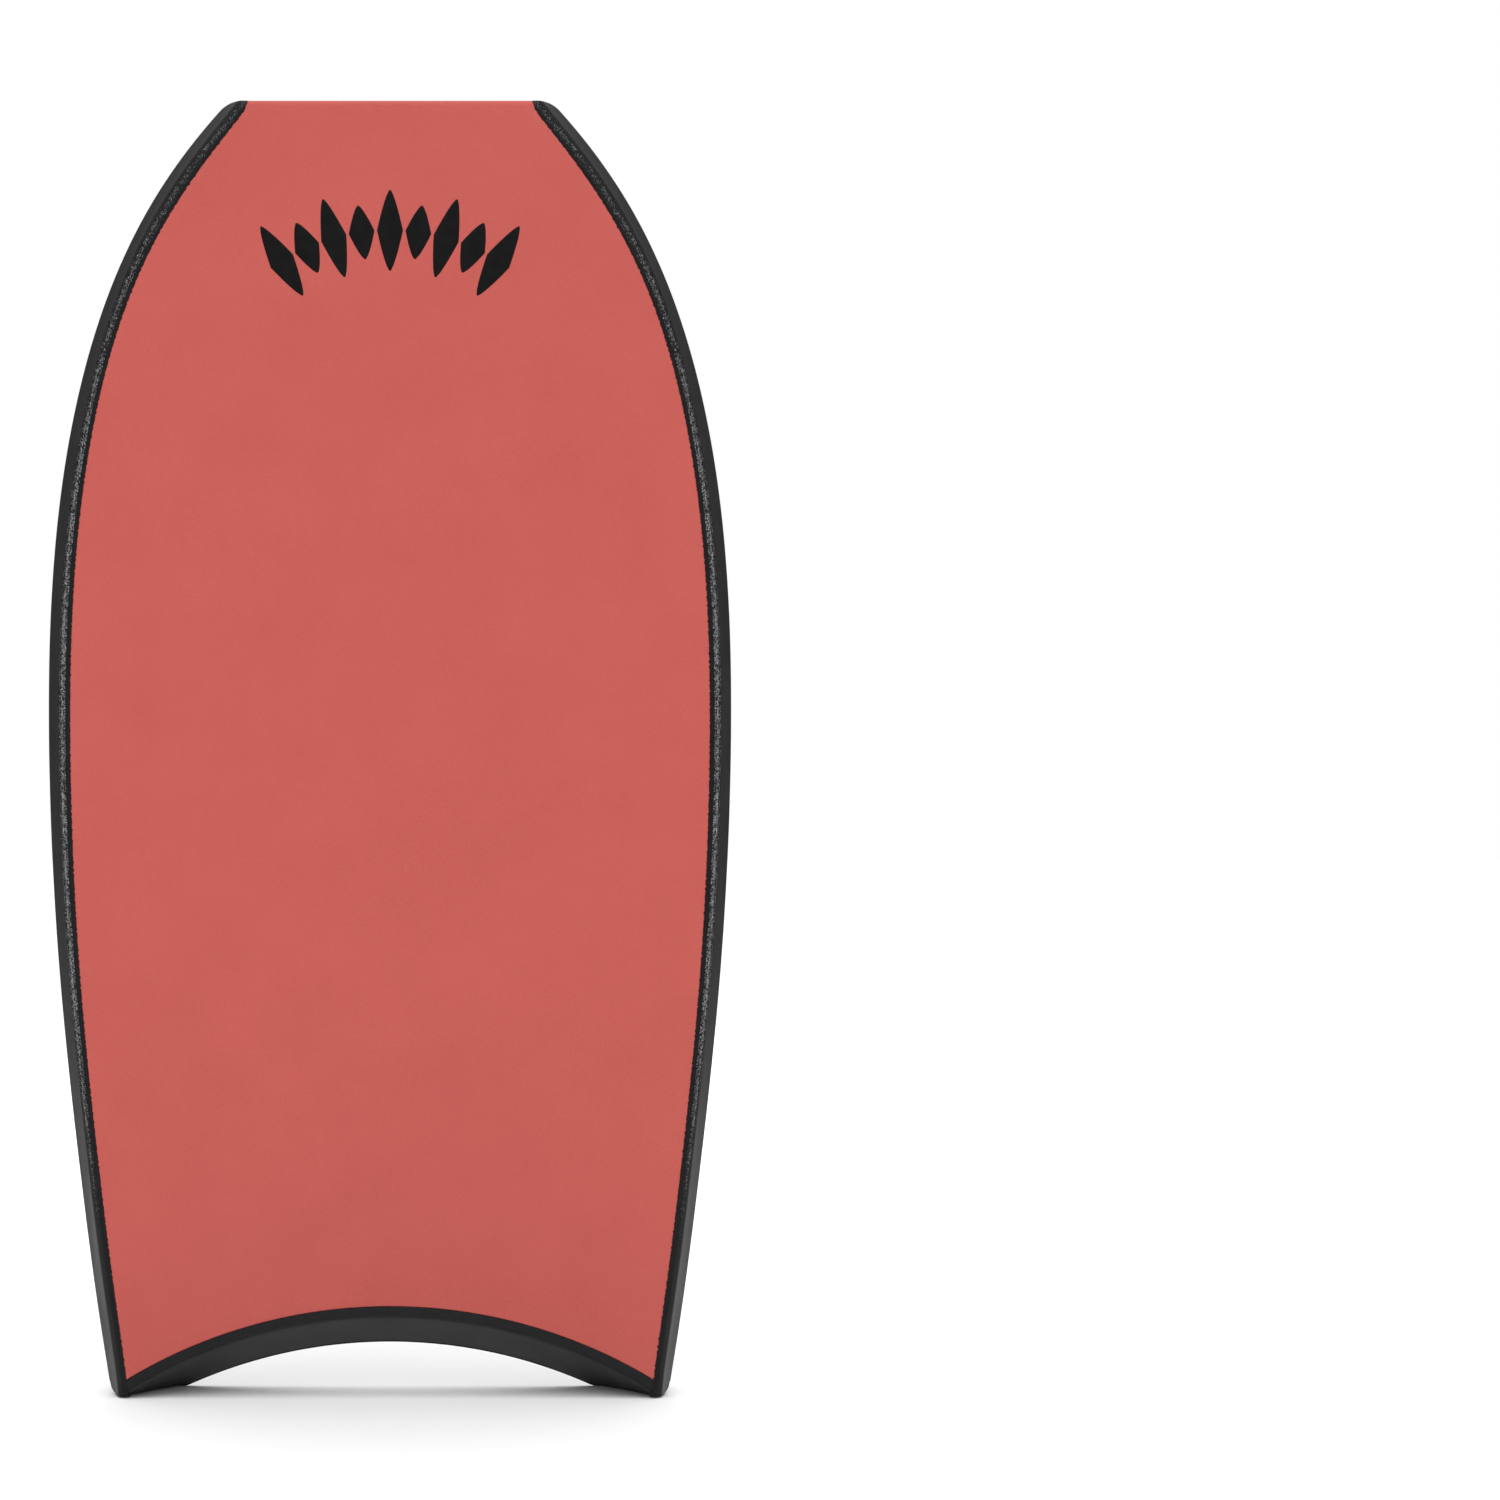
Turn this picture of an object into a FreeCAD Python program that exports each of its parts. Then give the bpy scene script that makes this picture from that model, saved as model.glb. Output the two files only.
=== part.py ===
import FreeCAD, Part
import os
import sys

import Sketcher
from FreeCAD import Vector

# A rigid foam bodyboard standing on its tail tips.
# +Z runs from the tail to the nose, +X is the rider's right, the deck faces -Y, the slick faces +Y.
# The origin is under the middle of the standing board. All sizes are in millimetres.

# ---------------------------------------------------------------------------------------------
# Driving dimensions
# ---------------------------------------------------------------------------------------------

DIMENSIONS = {
    # overall
    "board_length": 1067,
    "deck_level": -24.1,
    "slick_level": 29.9,
    "overshoot": 12,
    # rocker: flat behind the start, then one arc on the deck side and one on the slick side
    "rocker_start": 660,
    "deck_rocker_radius": 13800,
    "slick_rocker_radius": 4150,
    # nose
    "nose_flat_run": 12,
    "nose_front_slope": 0.21,
    "nose_slick_drop": 10.5,
    "nose_bevel_run": 3,
    "nose_roll_radius": 6,
    "nose_skin_thickness": 4.5,
    "nose_trim_height": 11,
    "nose_trim_depth": 5,
    # rail section, as shares of the insets and of the thickness
    "widest_share": 0.407,
    "widest_seam_offset": 1,
    "chine_share": 0.60,
    "deck_corner_share": 0.80,
    "seam_share": 0.65,
    "slick_corner_share": 0.76,
    "chine_depth": 3.5,
    "seam_depth": 5.5,
    "deck_strip_depth": 5.5,
    "slick_strip_depth": 5,
    # layers
    "deck_skin_thickness": 3.5,
    "slick_thickness": 1.5,
    "mesh_thickness": 0.6,
    "tail_skin_thickness": 4,
    # tail: a crescent on a slanted cylinder, with small round corners at the tips
    "crescent_radius": 411,
    "crescent_height_deck": 68,
    "crescent_height_slick": 37,
    "tail_trim_width": 8,
    "slick_trim_width": 4.5,
    "tail_half_width": 231.9,
    "tail_corner_radius": 10,
    "lower_rail_half_width": 233.8,
    "lower_rail_lift": 11.5,
    "strip_half_width": 221.2,
    "strip_corner_radius": 8,
    # stringer
    "stringer_diameter": 10,
    "stringer_bore": 8,
    "stringer_start": 110,
    "stringer_length": 840,
    "stringer_level": 2.9,
    "plug_head": 4,
    "plug_spigot": 12,
}

# Stations up the board: height above the tail tips, half width at the widest line,
# inset of the deck skin's edge and inset of the slick's edge. The first and the last lie
# beyond the board, so that the ends are cut through full sections.
STATIONS = [
    (-20, 227.1, 14.5, 18.0),
    (35, 236.7, 16.6, 19.0),
    (159, 254.0, 17.3, 20.2),
    (324, 272.0, 17.6, 21.8),
    (573, 283.1, 18.6, 23.0),
    (739, 274.0, 19.5, 22.0),
    (905, 235.4, 20.6, 22.4),
    (988, 195.8, 24.5, 22.0),
    (1037, 161.0, 27.0, 20.0),
    (1063, 139.0, 22.5, 18.0),
    (1085, 118.0, 6.0, 12.0),
]
STATION_NAMES = ("station", "half_width", "deck_inset", "slick_inset")

doc = FreeCAD.newDocument("bodyboard")


def make_sheet():
    """Fill the spreadsheet with every driving dimension under its own alias."""
    sheet = doc.addObject("Spreadsheet::Sheet", "dims")
    cells = dict(DIMENSIONS)
    for number, station in enumerate(STATIONS):
        for name, size in zip(STATION_NAMES, station):
            cells[f"{name}_{number}"] = size
    for row, (name, size) in enumerate(cells.items(), start=1):
        sheet.set(f"A{row}", name)
        sheet.set(f"B{row}", str(size))
        sheet.setAlias(f"B{row}", name)
    doc.recompute()
    return sheet


dims = make_sheet()


def value(expression):
    """Work an expression out to a plain number."""
    return float(dims.evalExpression(str(expression)))


# ---------------------------------------------------------------------------------------------
# Sketch and feature helpers
# ---------------------------------------------------------------------------------------------

def new_sketch(body, plane, name, offset="0"):
    """A sketch on one of the body's own origin planes, moved along the plane's normal."""
    sketch = body.newObject("Sketcher::SketchObject", name)
    support = next(item for item in body.Origin.OriginFeatures if item.Role == plane)
    sketch.AttachmentSupport = [(support, "")]
    sketch.MapMode = "FlatFace"
    sketch.setExpression("AttachmentOffset.Base.z", offset)
    return sketch


def hold(sketch, geometry, end, x, y):
    """Hold a point of the sketch at two expressions, measured from the sketch's origin."""
    for kind, expression in (("DistanceX", x), ("DistanceY", y)):
        constraint = Sketcher.Constraint(kind, -1, 1, geometry, end, value(expression))
        index = sketch.addConstraint(constraint)
        sketch.setExpression(f"Constraints[{index}]", expression)


def arc_between(start, end, centre):
    """The short arc from start to end, and which of its own ends each of them is."""
    middle = centre + ((start + end) * 0.5 - centre).normalize() * (start - centre).Length
    curve = Part.Arc(start, middle, end)
    turn = (start - centre).cross(end - centre).z
    return curve, ((1, 2) if turn > 0 else (2, 1))


def closed_outline(sketch, corners, centres=None):
    """Join the corners with straight edges, or with arcs about the centres given by edge number."""
    centres = centres or {}
    points = [Vector(value(x), value(y), 0) for x, y in corners]
    ends = []
    for number, start in enumerate(points):
        end = points[(number + 1) % len(points)]
        if number in centres:
            x, y = centres[number]
            curve, order = arc_between(start, end, Vector(value(x), value(y), 0))
        else:
            curve, order = Part.LineSegment(start, end), (1, 2)
        sketch.addGeometry(curve)
        ends.append(order)
    for number in range(len(points)):
        following = (number + 1) % len(points)
        joint = Sketcher.Constraint("Coincident", number, ends[number][1], following, ends[following][0])
        sketch.addConstraint(joint)
    for number, (x, y) in enumerate(corners):
        hold(sketch, number, ends[number][0], x, y)
    for number, (x, y) in centres.items():
        constraint = Sketcher.Constraint("DistanceY", -1, 1, number, 3, value(y))
        index = sketch.addConstraint(constraint)
        sketch.setExpression(f"Constraints[{index}]", y)


def circle(sketch, radius, x, y):
    """A full circle of the given radius about a held centre."""
    sketch.addGeometry(Part.Circle(Vector(value(x), value(y), 0), Vector(0, 0, 1), value(radius)))
    hold(sketch, 0, 3, x, y)
    index = sketch.addConstraint(Sketcher.Constraint("Radius", 0, value(radius)))
    sketch.setExpression(f"Constraints[{index}]", radius)


def pad_through(body, sketch, length):
    """Pad a sketch to both sides of its plane."""
    pad = body.newObject("PartDesign::Pad", body.Name + "_pad")
    pad.Profile = sketch
    pad.SideType = "Symmetric"
    pad.setExpression("Length", length)
    body.Tip = pad
    return pad


def boolean(kind, name, *shapes):
    """A boolean of two or more objects: MultiCommon, MultiFuse, or Cut of the first by the second."""
    result = doc.addObject(f"Part::{kind}", name)
    if kind == "Cut":
        result.Base, result.Tool = shapes
    else:
        result.Shapes = list(shapes)
    return result


def box(name, corner, size):
    """A block from one corner, both given as three expressions."""
    block = doc.addObject("Part::Box", name)
    for axis, expression in zip("xyz", corner):
        block.setExpression(f"Placement.Base.{axis}", expression)
    for side, expression in zip(("Length", "Width", "Height"), size):
        block.setExpression(side, expression)
    return block


# ---------------------------------------------------------------------------------------------
# Surfaces of the board as expressions
# ---------------------------------------------------------------------------------------------

def lift(radius, height):
    """How far a rocker arc has left the straight line at a height."""
    run = f"max(0; {height} - dims.rocker_start)"
    return f"({radius} - sqrt({radius} ^ 2 - ({run}) ^ 2))"


def deck_at(height):
    return f"(dims.deck_level - {lift('dims.deck_rocker_radius', height)})"


def slick_at(height):
    return f"(dims.slick_level - {lift('dims.slick_rocker_radius', height)})"


def station_loft(name, half_section):
    """Loft a section that is the same on both sides through all the stations."""
    body = doc.addObject("PartDesign::Body", name)
    sketches = []
    for number in range(len(STATIONS)):
        sketch = new_sketch(body, "XY_Plane", f"{name}_section_{number}", f"dims.station_{number}")
        right = half_section(number)
        left = [(f"-({x})", y) for x, y in reversed(right)]
        closed_outline(sketch, right + left)
        sketches.append(sketch)
    loft = body.newObject("PartDesign::AdditiveLoft", name + "_loft")
    loft.Profile = sketches[0]
    loft.Sections = sketches[1:]
    loft.Ruled = False
    body.Tip = loft
    return body


def rail_section(number):
    """Half of the board's outer section, with both corners run out past the two skins."""
    height = f"dims.station_{number}"
    width = f"dims.half_width_{number}"
    deck_inset = f"dims.deck_inset_{number}"
    slick_inset = f"dims.slick_inset_{number}"
    deck, slick = deck_at(height), slick_at(height)
    chine_x = f"{width} - dims.chine_share * {deck_inset}"
    chine_y = f"{deck} + dims.chine_depth"
    deck_slope = f"(dims.deck_corner_share - dims.chine_share) * {deck_inset} / dims.chine_depth"
    seam_x = f"{width} - dims.seam_share * {slick_inset}"
    seam_y = f"{slick} - dims.seam_depth"
    slick_slope = f"(dims.slick_corner_share - dims.seam_share) * {slick_inset} / dims.seam_depth"
    return [
        (f"{chine_x} - {deck_slope} * dims.overshoot", f"{chine_y} - dims.overshoot"),
        (chine_x, chine_y),
        (width, f"{deck} + dims.widest_share * ({slick} - {deck})"),
        (seam_x, seam_y),
        (f"{seam_x} - {slick_slope} * dims.overshoot", f"{seam_y} + dims.overshoot"),
    ]


def inner_section(number):
    """Half of the region between the two rails: it reaches past both skins."""
    width = f"dims.half_width_{number}"
    return [
        (f"{width} - dims.deck_inset_{number}", "dims.deck_level - 2 * dims.overshoot"),
        (f"{width} - dims.slick_inset_{number}", "dims.slick_level + dims.overshoot"),
    ]


FLOOR = "-2 * dims.overshoot"
HALF_WIDTH = "(dims.half_width_4 + 3 * dims.overshoot)"
FULL_DEPTH = "(dims.slick_level - dims.deck_level + 6 * dims.overshoot)"
MIDDLE = "(dims.deck_level + dims.slick_level) / 2"
OPEN = "-dims.overshoot"


def side_slab(name, deck_gap="0", nose_gap="0", slick_gap="0"):
    """The board's side profile pulled in by a gap on the deck, the nose and the slick."""
    body = doc.addObject("PartDesign::Body", name)
    sketch = new_sketch(body, "YZ_Plane", name + "_profile")
    nose = f"(dims.board_length - ({nose_gap}))"
    deck_start = f"(dims.deck_level + ({deck_gap}))"
    deck_end = f"({deck_at(nose)} + ({deck_gap}))"
    slick_start = f"(dims.slick_level - ({slick_gap}))"
    slick_nose = f"({nose} - dims.nose_slick_drop)"
    slick_end = f"({slick_at(slick_nose)} - ({slick_gap}))"
    flat_end = f"({deck_end} + dims.nose_flat_run)"
    bevel = f"({slick_end} - dims.nose_bevel_run)"
    corners = [
        (deck_start, FLOOR),
        (deck_start, "dims.rocker_start"),
        (deck_end, nose),
        (flat_end, nose),
        (bevel, f"{nose} - dims.nose_front_slope * ({bevel} - {flat_end})"),
        (slick_end, slick_nose),
        (slick_start, "dims.rocker_start"),
        (slick_start, FLOOR),
    ]
    centres = {
        1: (f"{deck_start} - dims.deck_rocker_radius", "dims.rocker_start"),
        5: (f"{slick_start} - dims.slick_rocker_radius", "dims.rocker_start"),
    }
    closed_outline(sketch, corners, centres)
    pad_through(body, sketch, f"2 * {HALF_WIDTH}")
    return body


def roll_nose(body):
    """Round the corner where the deck turns over the front of the nose."""
    doc.recompute()
    pad = body.Tip
    corner = Vector(0, value(deck_at("dims.board_length")), value("dims.board_length"))
    gaps = [(edge.CenterOfMass - corner).Length for edge in pad.Shape.Edges]
    fillet = body.newObject("PartDesign::Fillet", body.Name + "_roll")
    fillet.Base = (pad, [f"Edge{gaps.index(min(gaps)) + 1}"])
    fillet.setExpression("Radius", "dims.nose_roll_radius")
    body.Tip = fillet


def behind_widest_line(name):
    """Everything behind the line where the board is widest, which follows the rocker."""
    body = doc.addObject("PartDesign::Body", name)
    sketch = new_sketch(body, "YZ_Plane", name + "_profile")
    deck_bend = "1 / dims.deck_rocker_radius"
    slick_bend = "1 / dims.slick_rocker_radius"
    radius = f"(1 / ({deck_bend} + dims.widest_share * ({slick_bend} - {deck_bend})))"
    thickness = "(dims.slick_level - dims.deck_level)"
    start = f"(dims.deck_level + dims.widest_share * {thickness} + dims.widest_seam_offset)"
    top = "(dims.board_length + dims.overshoot)"
    back = "(dims.slick_level + dims.overshoot)"
    corners = [
        (start, FLOOR),
        (start, "dims.rocker_start"),
        (f"{start} - {lift(radius, top)}", top),
        (back, top),
        (back, FLOOR),
    ]
    closed_outline(sketch, corners, {1: (f"{start} - {radius}", "dims.rocker_start")})
    pad_through(body, sketch, f"2 * {HALF_WIDTH}")
    return body


def tail_corners(name, half_width, base, radius):
    """Everything above a straight tail edge with two round corners, seen from the deck."""
    body = doc.addObject("PartDesign::Body", name)
    sketch = new_sketch(body, "XZ_Plane", name + "_plan", f"-({MIDDLE})")
    top = "dims.board_length + dims.overshoot"
    shoulder = f"{base} + {radius}"
    far = f"({half_width} + 2 * dims.overshoot + dims.half_width_4 - dims.tail_half_width)"
    corners = [
        (f"{half_width} - {radius}", base),
        (half_width, shoulder),
        (far, f"{shoulder} + 4 * dims.overshoot"),
        (far, top),
        (f"-{far}", top),
        (f"-{far}", f"{shoulder} + 4 * dims.overshoot"),
        (f"-({half_width})", shoulder),
        (f"-({half_width} - {radius})", base),
    ]
    centres = {
        0: (f"{half_width} - {radius}", shoulder),
        6: (f"-({half_width} - {radius})", shoulder),
    }
    closed_outline(sketch, corners, centres)
    pad_through(body, sketch, FULL_DEPTH)
    return body


def crescent(name, grow):
    """The slanted cylinder that hollows the tail, grown by a layer's thickness."""
    body = doc.addObject("PartDesign::Body", name)
    sketch = new_sketch(body, "XZ_Plane", name + "_plan", f"-({MIDDLE})")
    height = "(dims.crescent_height_deck + dims.crescent_height_slick) / 2"
    circle(sketch, f"dims.crescent_radius + {grow}", "0", f"{height} - dims.crescent_radius")
    pad = pad_through(body, sketch, FULL_DEPTH)
    pad.UseCustomVector = True
    pad.AlongSketchNormal = True
    pad.setExpression("Direction.x", "0")
    pad.setExpression("Direction.y", "dims.slick_level - dims.deck_level")
    pad.setExpression("Direction.z", "dims.crescent_height_slick - dims.crescent_height_deck")
    return body


def straight_crescent(name, grow):
    """The same hollow as it stands on the deck, cut square through the board."""
    body = doc.addObject("PartDesign::Body", name)
    sketch = new_sketch(body, "XZ_Plane", name + "_plan", f"-({MIDDLE})")
    height = "dims.crescent_height_deck - dims.crescent_radius"
    circle(sketch, f"dims.crescent_radius + {grow}", "0", height)
    pad_through(body, sketch, FULL_DEPTH)
    return body


def tail_layer(name, grow):
    """Everything within a layer's thickness of the crescent and of the floor."""
    hollow = crescent(name + "_hollow", grow)
    corner = (f"-{HALF_WIDTH}", f"{MIDDLE} - {FULL_DEPTH} / 2", FLOOR)
    size = (f"2 * {HALF_WIDTH}", FULL_DEPTH, f"{grow} - ({FLOOR})")
    return boolean("MultiFuse", name, hollow, box(name + "_floor", corner, size))


# ---------------------------------------------------------------------------------------------
# Cutting tools
# ---------------------------------------------------------------------------------------------

rail_blank = station_loft("rail_blank", rail_section)
inner_block = station_loft("inner_block", inner_section)

outer_slab = side_slab("outer_slab")
roll_nose(outer_slab)
skin_slab = side_slab("skin_slab", "dims.deck_skin_thickness", "dims.nose_skin_thickness", OPEN)
slick_slab = side_slab("slick_slab", OPEN, OPEN, "dims.slick_thickness")
deck_mesh_slab = side_slab("deck_mesh_slab", "dims.deck_skin_thickness + dims.mesh_thickness", OPEN, OPEN)
bottom_mesh_slab = side_slab("bottom_mesh_slab", OPEN, OPEN, "dims.slick_thickness + dims.mesh_thickness")
deck_strip_slab = side_slab("deck_strip_slab", "dims.deck_strip_depth", OPEN, OPEN)
slick_strip_slab = side_slab("slick_strip_slab", OPEN, OPEN, "dims.slick_strip_depth")
widest_slab = behind_widest_line("widest_slab")

board_corners = tail_corners("board_corners", "dims.tail_half_width", "0", "dims.tail_corner_radius")
lower_rail_corners = tail_corners(
    "lower_rail_corners", "dims.lower_rail_half_width", "dims.lower_rail_lift", "dims.tail_corner_radius"
)
strip_corners = tail_corners("strip_corners", "dims.strip_half_width", "0", "dims.strip_corner_radius")

crescent_cut = crescent("crescent_cut", "0")
deck_edge_cut = straight_crescent("deck_edge_cut", "dims.tail_trim_width")
tail_skin_layer = tail_layer("tail_skin_layer", "dims.tail_skin_thickness")
tail_trim_layer = tail_layer("tail_trim_layer", "dims.slick_trim_width")

nose_trim_level = "(dims.board_length - dims.nose_trim_height)"
nose_trim_block = box(
    "nose_trim_block",
    (f"-{HALF_WIDTH}", f"{slick_at(nose_trim_level)} - dims.nose_trim_depth", nose_trim_level),
    (f"2 * {HALF_WIDTH}", "2 * dims.overshoot", "2 * dims.overshoot"),
)

# ---------------------------------------------------------------------------------------------
# Sub-parts
# ---------------------------------------------------------------------------------------------

parts = {}

blank = boolean("MultiCommon", "blank", rail_blank, outer_slab, board_corners)
inner_blank = boolean("MultiCommon", "inner_blank", blank, inner_block)
inner_board = boolean("Cut", "inner_board", inner_blank, crescent_cut)
rails = boolean("Cut", "rails", blank, inner_block)


def make_nose_trim():
    """The strip along the slick side of the nose."""
    parts["nose_trim"] = boolean("MultiCommon", "nose_trim_solid", inner_board, nose_trim_block)
    return boolean("Cut", "inner_without_trim", inner_board, nose_trim_block)


def make_deck_layers(layers):
    """The deck skin, which rolls over the nose, and the trim between it and the tail bevel."""
    top_layer = boolean("Cut", "top_layer", layers, skin_slab)
    parts["deck_skin"] = boolean("Cut", "deck_skin_solid", top_layer, deck_edge_cut)
    parts["tail_deck_trim"] = boolean("MultiCommon", "tail_deck_trim_solid", top_layer, deck_edge_cut)


def make_slick_layers(layers):
    """The slick and the trim between it and the tail bevel."""
    bottom_layer = boolean("Cut", "bottom_layer", layers, slick_slab)
    parts["slick"] = boolean("Cut", "slick_solid", bottom_layer, tail_trim_layer)
    parts["tail_slick_trim"] = boolean("MultiCommon", "tail_slick_trim_solid", bottom_layer, tail_trim_layer)


def make_inside(layers):
    """The tail skin, the two meshes and the core, which has a closed channel for the stringer."""
    middle = boolean("MultiCommon", "middle", layers, skin_slab, slick_slab)
    parts["tail_skin"] = boolean("MultiCommon", "tail_skin_solid", middle, tail_skin_layer)
    heart = boolean("Cut", "heart", middle, tail_skin_layer)
    parts["deck_mesh"] = boolean("Cut", "deck_mesh_solid", heart, deck_mesh_slab)
    parts["bottom_mesh"] = boolean("Cut", "bottom_mesh_solid", heart, bottom_mesh_slab)
    core = boolean("MultiCommon", "core", heart, deck_mesh_slab, bottom_mesh_slab)
    channel = doc.addObject("Part::Cylinder", "channel")
    channel.setExpression("Radius", "dims.stringer_diameter / 2")
    channel.setExpression("Height", "dims.stringer_length")
    channel.setExpression("Placement.Base.y", "dims.stringer_level")
    channel.setExpression("Placement.Base.z", "dims.stringer_start")
    parts["foam_core"] = boolean("Cut", "foam_core_solid", core, channel)


def make_stringer():
    """The hollow tube and the plug in each of its ends."""
    body = doc.addObject("PartDesign::Body", "stringer_tube_body")
    sketch = new_sketch(body, "XY_Plane", "stringer_rings", "dims.plug_head")
    for number, diameter in enumerate(("dims.stringer_diameter", "dims.stringer_bore")):
        sketch.addGeometry(Part.Circle(Vector(0, 0, 0), Vector(0, 0, 1), value(diameter) / 2))
        hold(sketch, number, 3, "0", "0")
        index = sketch.addConstraint(Sketcher.Constraint("Radius", number, value(diameter) / 2))
        sketch.setExpression(f"Constraints[{index}]", f"{diameter} / 2")
    pad = body.newObject("PartDesign::Pad", "stringer_pad")
    pad.Profile = sketch
    pad.setExpression("Length", "dims.stringer_length - 2 * dims.plug_head")
    place_on_stringer(body, "dims.stringer_start")
    parts["stringer_tube"] = body
    for end, start, turned in (
        ("tail", "dims.stringer_start", False),
        ("nose", "dims.stringer_start + dims.stringer_length", True),
    ):
        plug = stringer_plug(f"stringer_plug_{end}_body")
        place_on_stringer(plug, start)
        if turned:
            plug.Placement.Rotation = FreeCAD.Rotation(Vector(1, 0, 0), 180)
        parts[f"stringer_plug_{end}"] = plug


def stringer_plug(name):
    """A turned plug: a head as wide as the tube and a spigot that fills its bore."""
    body = doc.addObject("PartDesign::Body", name)
    sketch = new_sketch(body, "XZ_Plane", name + "_half")
    head, bore = "dims.stringer_diameter / 2", "dims.stringer_bore / 2"
    step, tip = "dims.plug_head", "dims.plug_head + dims.plug_spigot"
    closed_outline(sketch, [("0", "0"), (head, "0"), (head, step), (bore, step), (bore, tip), ("0", tip)])
    turn = body.newObject("PartDesign::Revolution", name + "_turn")
    turn.Profile = sketch
    turn.ReferenceAxis = (sketch, ["V_Axis"])
    turn.Angle = 360
    body.Tip = turn
    return body


def place_on_stringer(body, height):
    """Put a body on the stringer's axis, at a height above the tail tips."""
    body.setExpression("Placement.Base.y", "dims.stringer_level")
    body.setExpression("Placement.Base.z", height)


def make_rails():
    """Four strips a side: deck chine, upper rail, lower rail and slick chine."""
    under_chine = boolean("MultiCommon", "under_chine", rails, deck_strip_slab)
    behind_widest = boolean("MultiCommon", "behind_widest", rails, widest_slab, slick_strip_slab)
    strips = {
        "deck_chine": boolean("Cut", "deck_chine_pair", rails, deck_strip_slab),
        "rail_upper": boolean("Cut", "rail_upper_pair", under_chine, widest_slab),
        "rail_lower": boolean("MultiCommon", "rail_lower_pair", behind_widest, lower_rail_corners),
        "slick_chine": boolean(
            "MultiCommon",
            "slick_chine_pair",
            boolean("Cut", "slick_chine_blank", rails, slick_strip_slab),
            strip_corners,
        ),
    }
    depth = f"{MIDDLE} - {FULL_DEPTH} / 2"
    height = "dims.board_length + 4 * dims.overshoot"
    half_size = (HALF_WIDTH, FULL_DEPTH, height)
    halves = {
        "left": box("left_half", (f"-{HALF_WIDTH}", depth, FLOOR), half_size),
        "right": box("right_half", ("0", depth, FLOOR), half_size),
    }
    for strip, pair in strips.items():
        for side, half in halves.items():
            node = f"{strip}_{side}"
            parts[node] = boolean("MultiCommon", node + "_solid", pair, half)


layers = make_nose_trim()
make_deck_layers(layers)
make_slick_layers(layers)
make_inside(layers)
make_stringer()
make_rails()

# ---------------------------------------------------------------------------------------------
# Checks and export
# ---------------------------------------------------------------------------------------------

for node, item in parts.items():
    item.Label = node
doc.recompute()

for item in doc.Objects:
    if "Invalid" in item.State or "Error" in item.State:
        sys.exit(f"{item.Name} failed: {item.State}")

os.makedirs("parts", exist_ok=True)
for node, item in parts.items():
    shape = item.Shape
    if shape.isNull() or not shape.isValid():
        sys.exit(f"{node} has no valid shape")
    shape.exportStep(f"parts/{node}.step")
    bounds = shape.BoundBox
    print(
        f"{node}: {len(shape.Solids)} solid, {shape.Volume / 1000:.1f} cm3,"
        f" z {bounds.ZMin:.1f} to {bounds.ZMax:.1f}"
    )
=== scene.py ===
import math

import bmesh
import bpy
import numpy as np
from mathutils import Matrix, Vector, noise
from numpy.polynomial import Chebyshev


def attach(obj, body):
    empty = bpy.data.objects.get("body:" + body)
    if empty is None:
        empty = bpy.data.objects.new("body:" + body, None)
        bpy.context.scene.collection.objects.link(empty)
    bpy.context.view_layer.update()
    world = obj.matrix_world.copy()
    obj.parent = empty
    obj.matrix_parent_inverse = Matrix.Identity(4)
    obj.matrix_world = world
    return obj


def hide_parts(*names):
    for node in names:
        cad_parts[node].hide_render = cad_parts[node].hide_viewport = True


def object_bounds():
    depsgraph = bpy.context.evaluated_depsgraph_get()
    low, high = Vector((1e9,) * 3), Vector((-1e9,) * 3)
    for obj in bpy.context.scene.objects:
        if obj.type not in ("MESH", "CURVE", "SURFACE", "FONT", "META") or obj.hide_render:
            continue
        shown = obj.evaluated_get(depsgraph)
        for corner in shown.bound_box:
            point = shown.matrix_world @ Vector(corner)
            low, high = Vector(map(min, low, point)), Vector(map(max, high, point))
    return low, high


# A rigid foam bodyboard standing on its tail tips, in metres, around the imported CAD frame.
# +Z runs from the tail to the nose, +X is the rider's right, the deck faces -Y, the slick faces +Y.
# Every visible layer is remodelled here on the CAD's own lines, with rolled edges, crowned faces
# and the pebble of the foam as real relief. The core, meshes and stringer stay as CAD nodes.

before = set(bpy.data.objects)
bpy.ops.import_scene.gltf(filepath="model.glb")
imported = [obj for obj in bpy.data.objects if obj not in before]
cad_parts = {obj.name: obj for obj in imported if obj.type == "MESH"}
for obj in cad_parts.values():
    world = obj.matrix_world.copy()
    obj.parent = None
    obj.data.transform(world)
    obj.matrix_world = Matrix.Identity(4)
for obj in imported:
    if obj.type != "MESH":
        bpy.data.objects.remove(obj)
cad_low, cad_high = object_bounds()

MM = 0.001
LENGTH = cad_high.z

# --------------------------------------------------
# Lines of the board, read from the CAD sections
# --------------------------------------------------

ROCKER_START = 660 * MM
DECK_ROCKER_RADIUS = 13800 * MM
SLICK_ROCKER_RADIUS = 4150 * MM
FLAT_HEIGHT = 300 * MM  # a height where both sides of the board are flat
LINE_MARGIN_TAIL = 25 * MM
LINE_MARGIN_NOSE = 15 * MM
LINE_SAMPLES = 90
LINE_DEGREE = 10


def section(node, height):
    """The (x, y) points where the edges of a CAD node cross a height."""
    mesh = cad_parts[node].data
    places = np.zeros(len(mesh.vertices) * 3)
    mesh.vertices.foreach_get("co", places)
    places = places.reshape(-1, 3)
    ends = np.zeros(len(mesh.edges) * 2, int)
    mesh.edges.foreach_get("vertices", ends)
    start, end = places[ends[0::2]], places[ends[1::2]]
    crossing = (start[:, 2] - height) * (end[:, 2] - height) < 0
    start, end = start[crossing], end[crossing]
    share = (height - start[:, 2]) / (end[:, 2] - start[:, 2])
    return (start + share[:, None] * (end - start))[:, :2]


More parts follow.
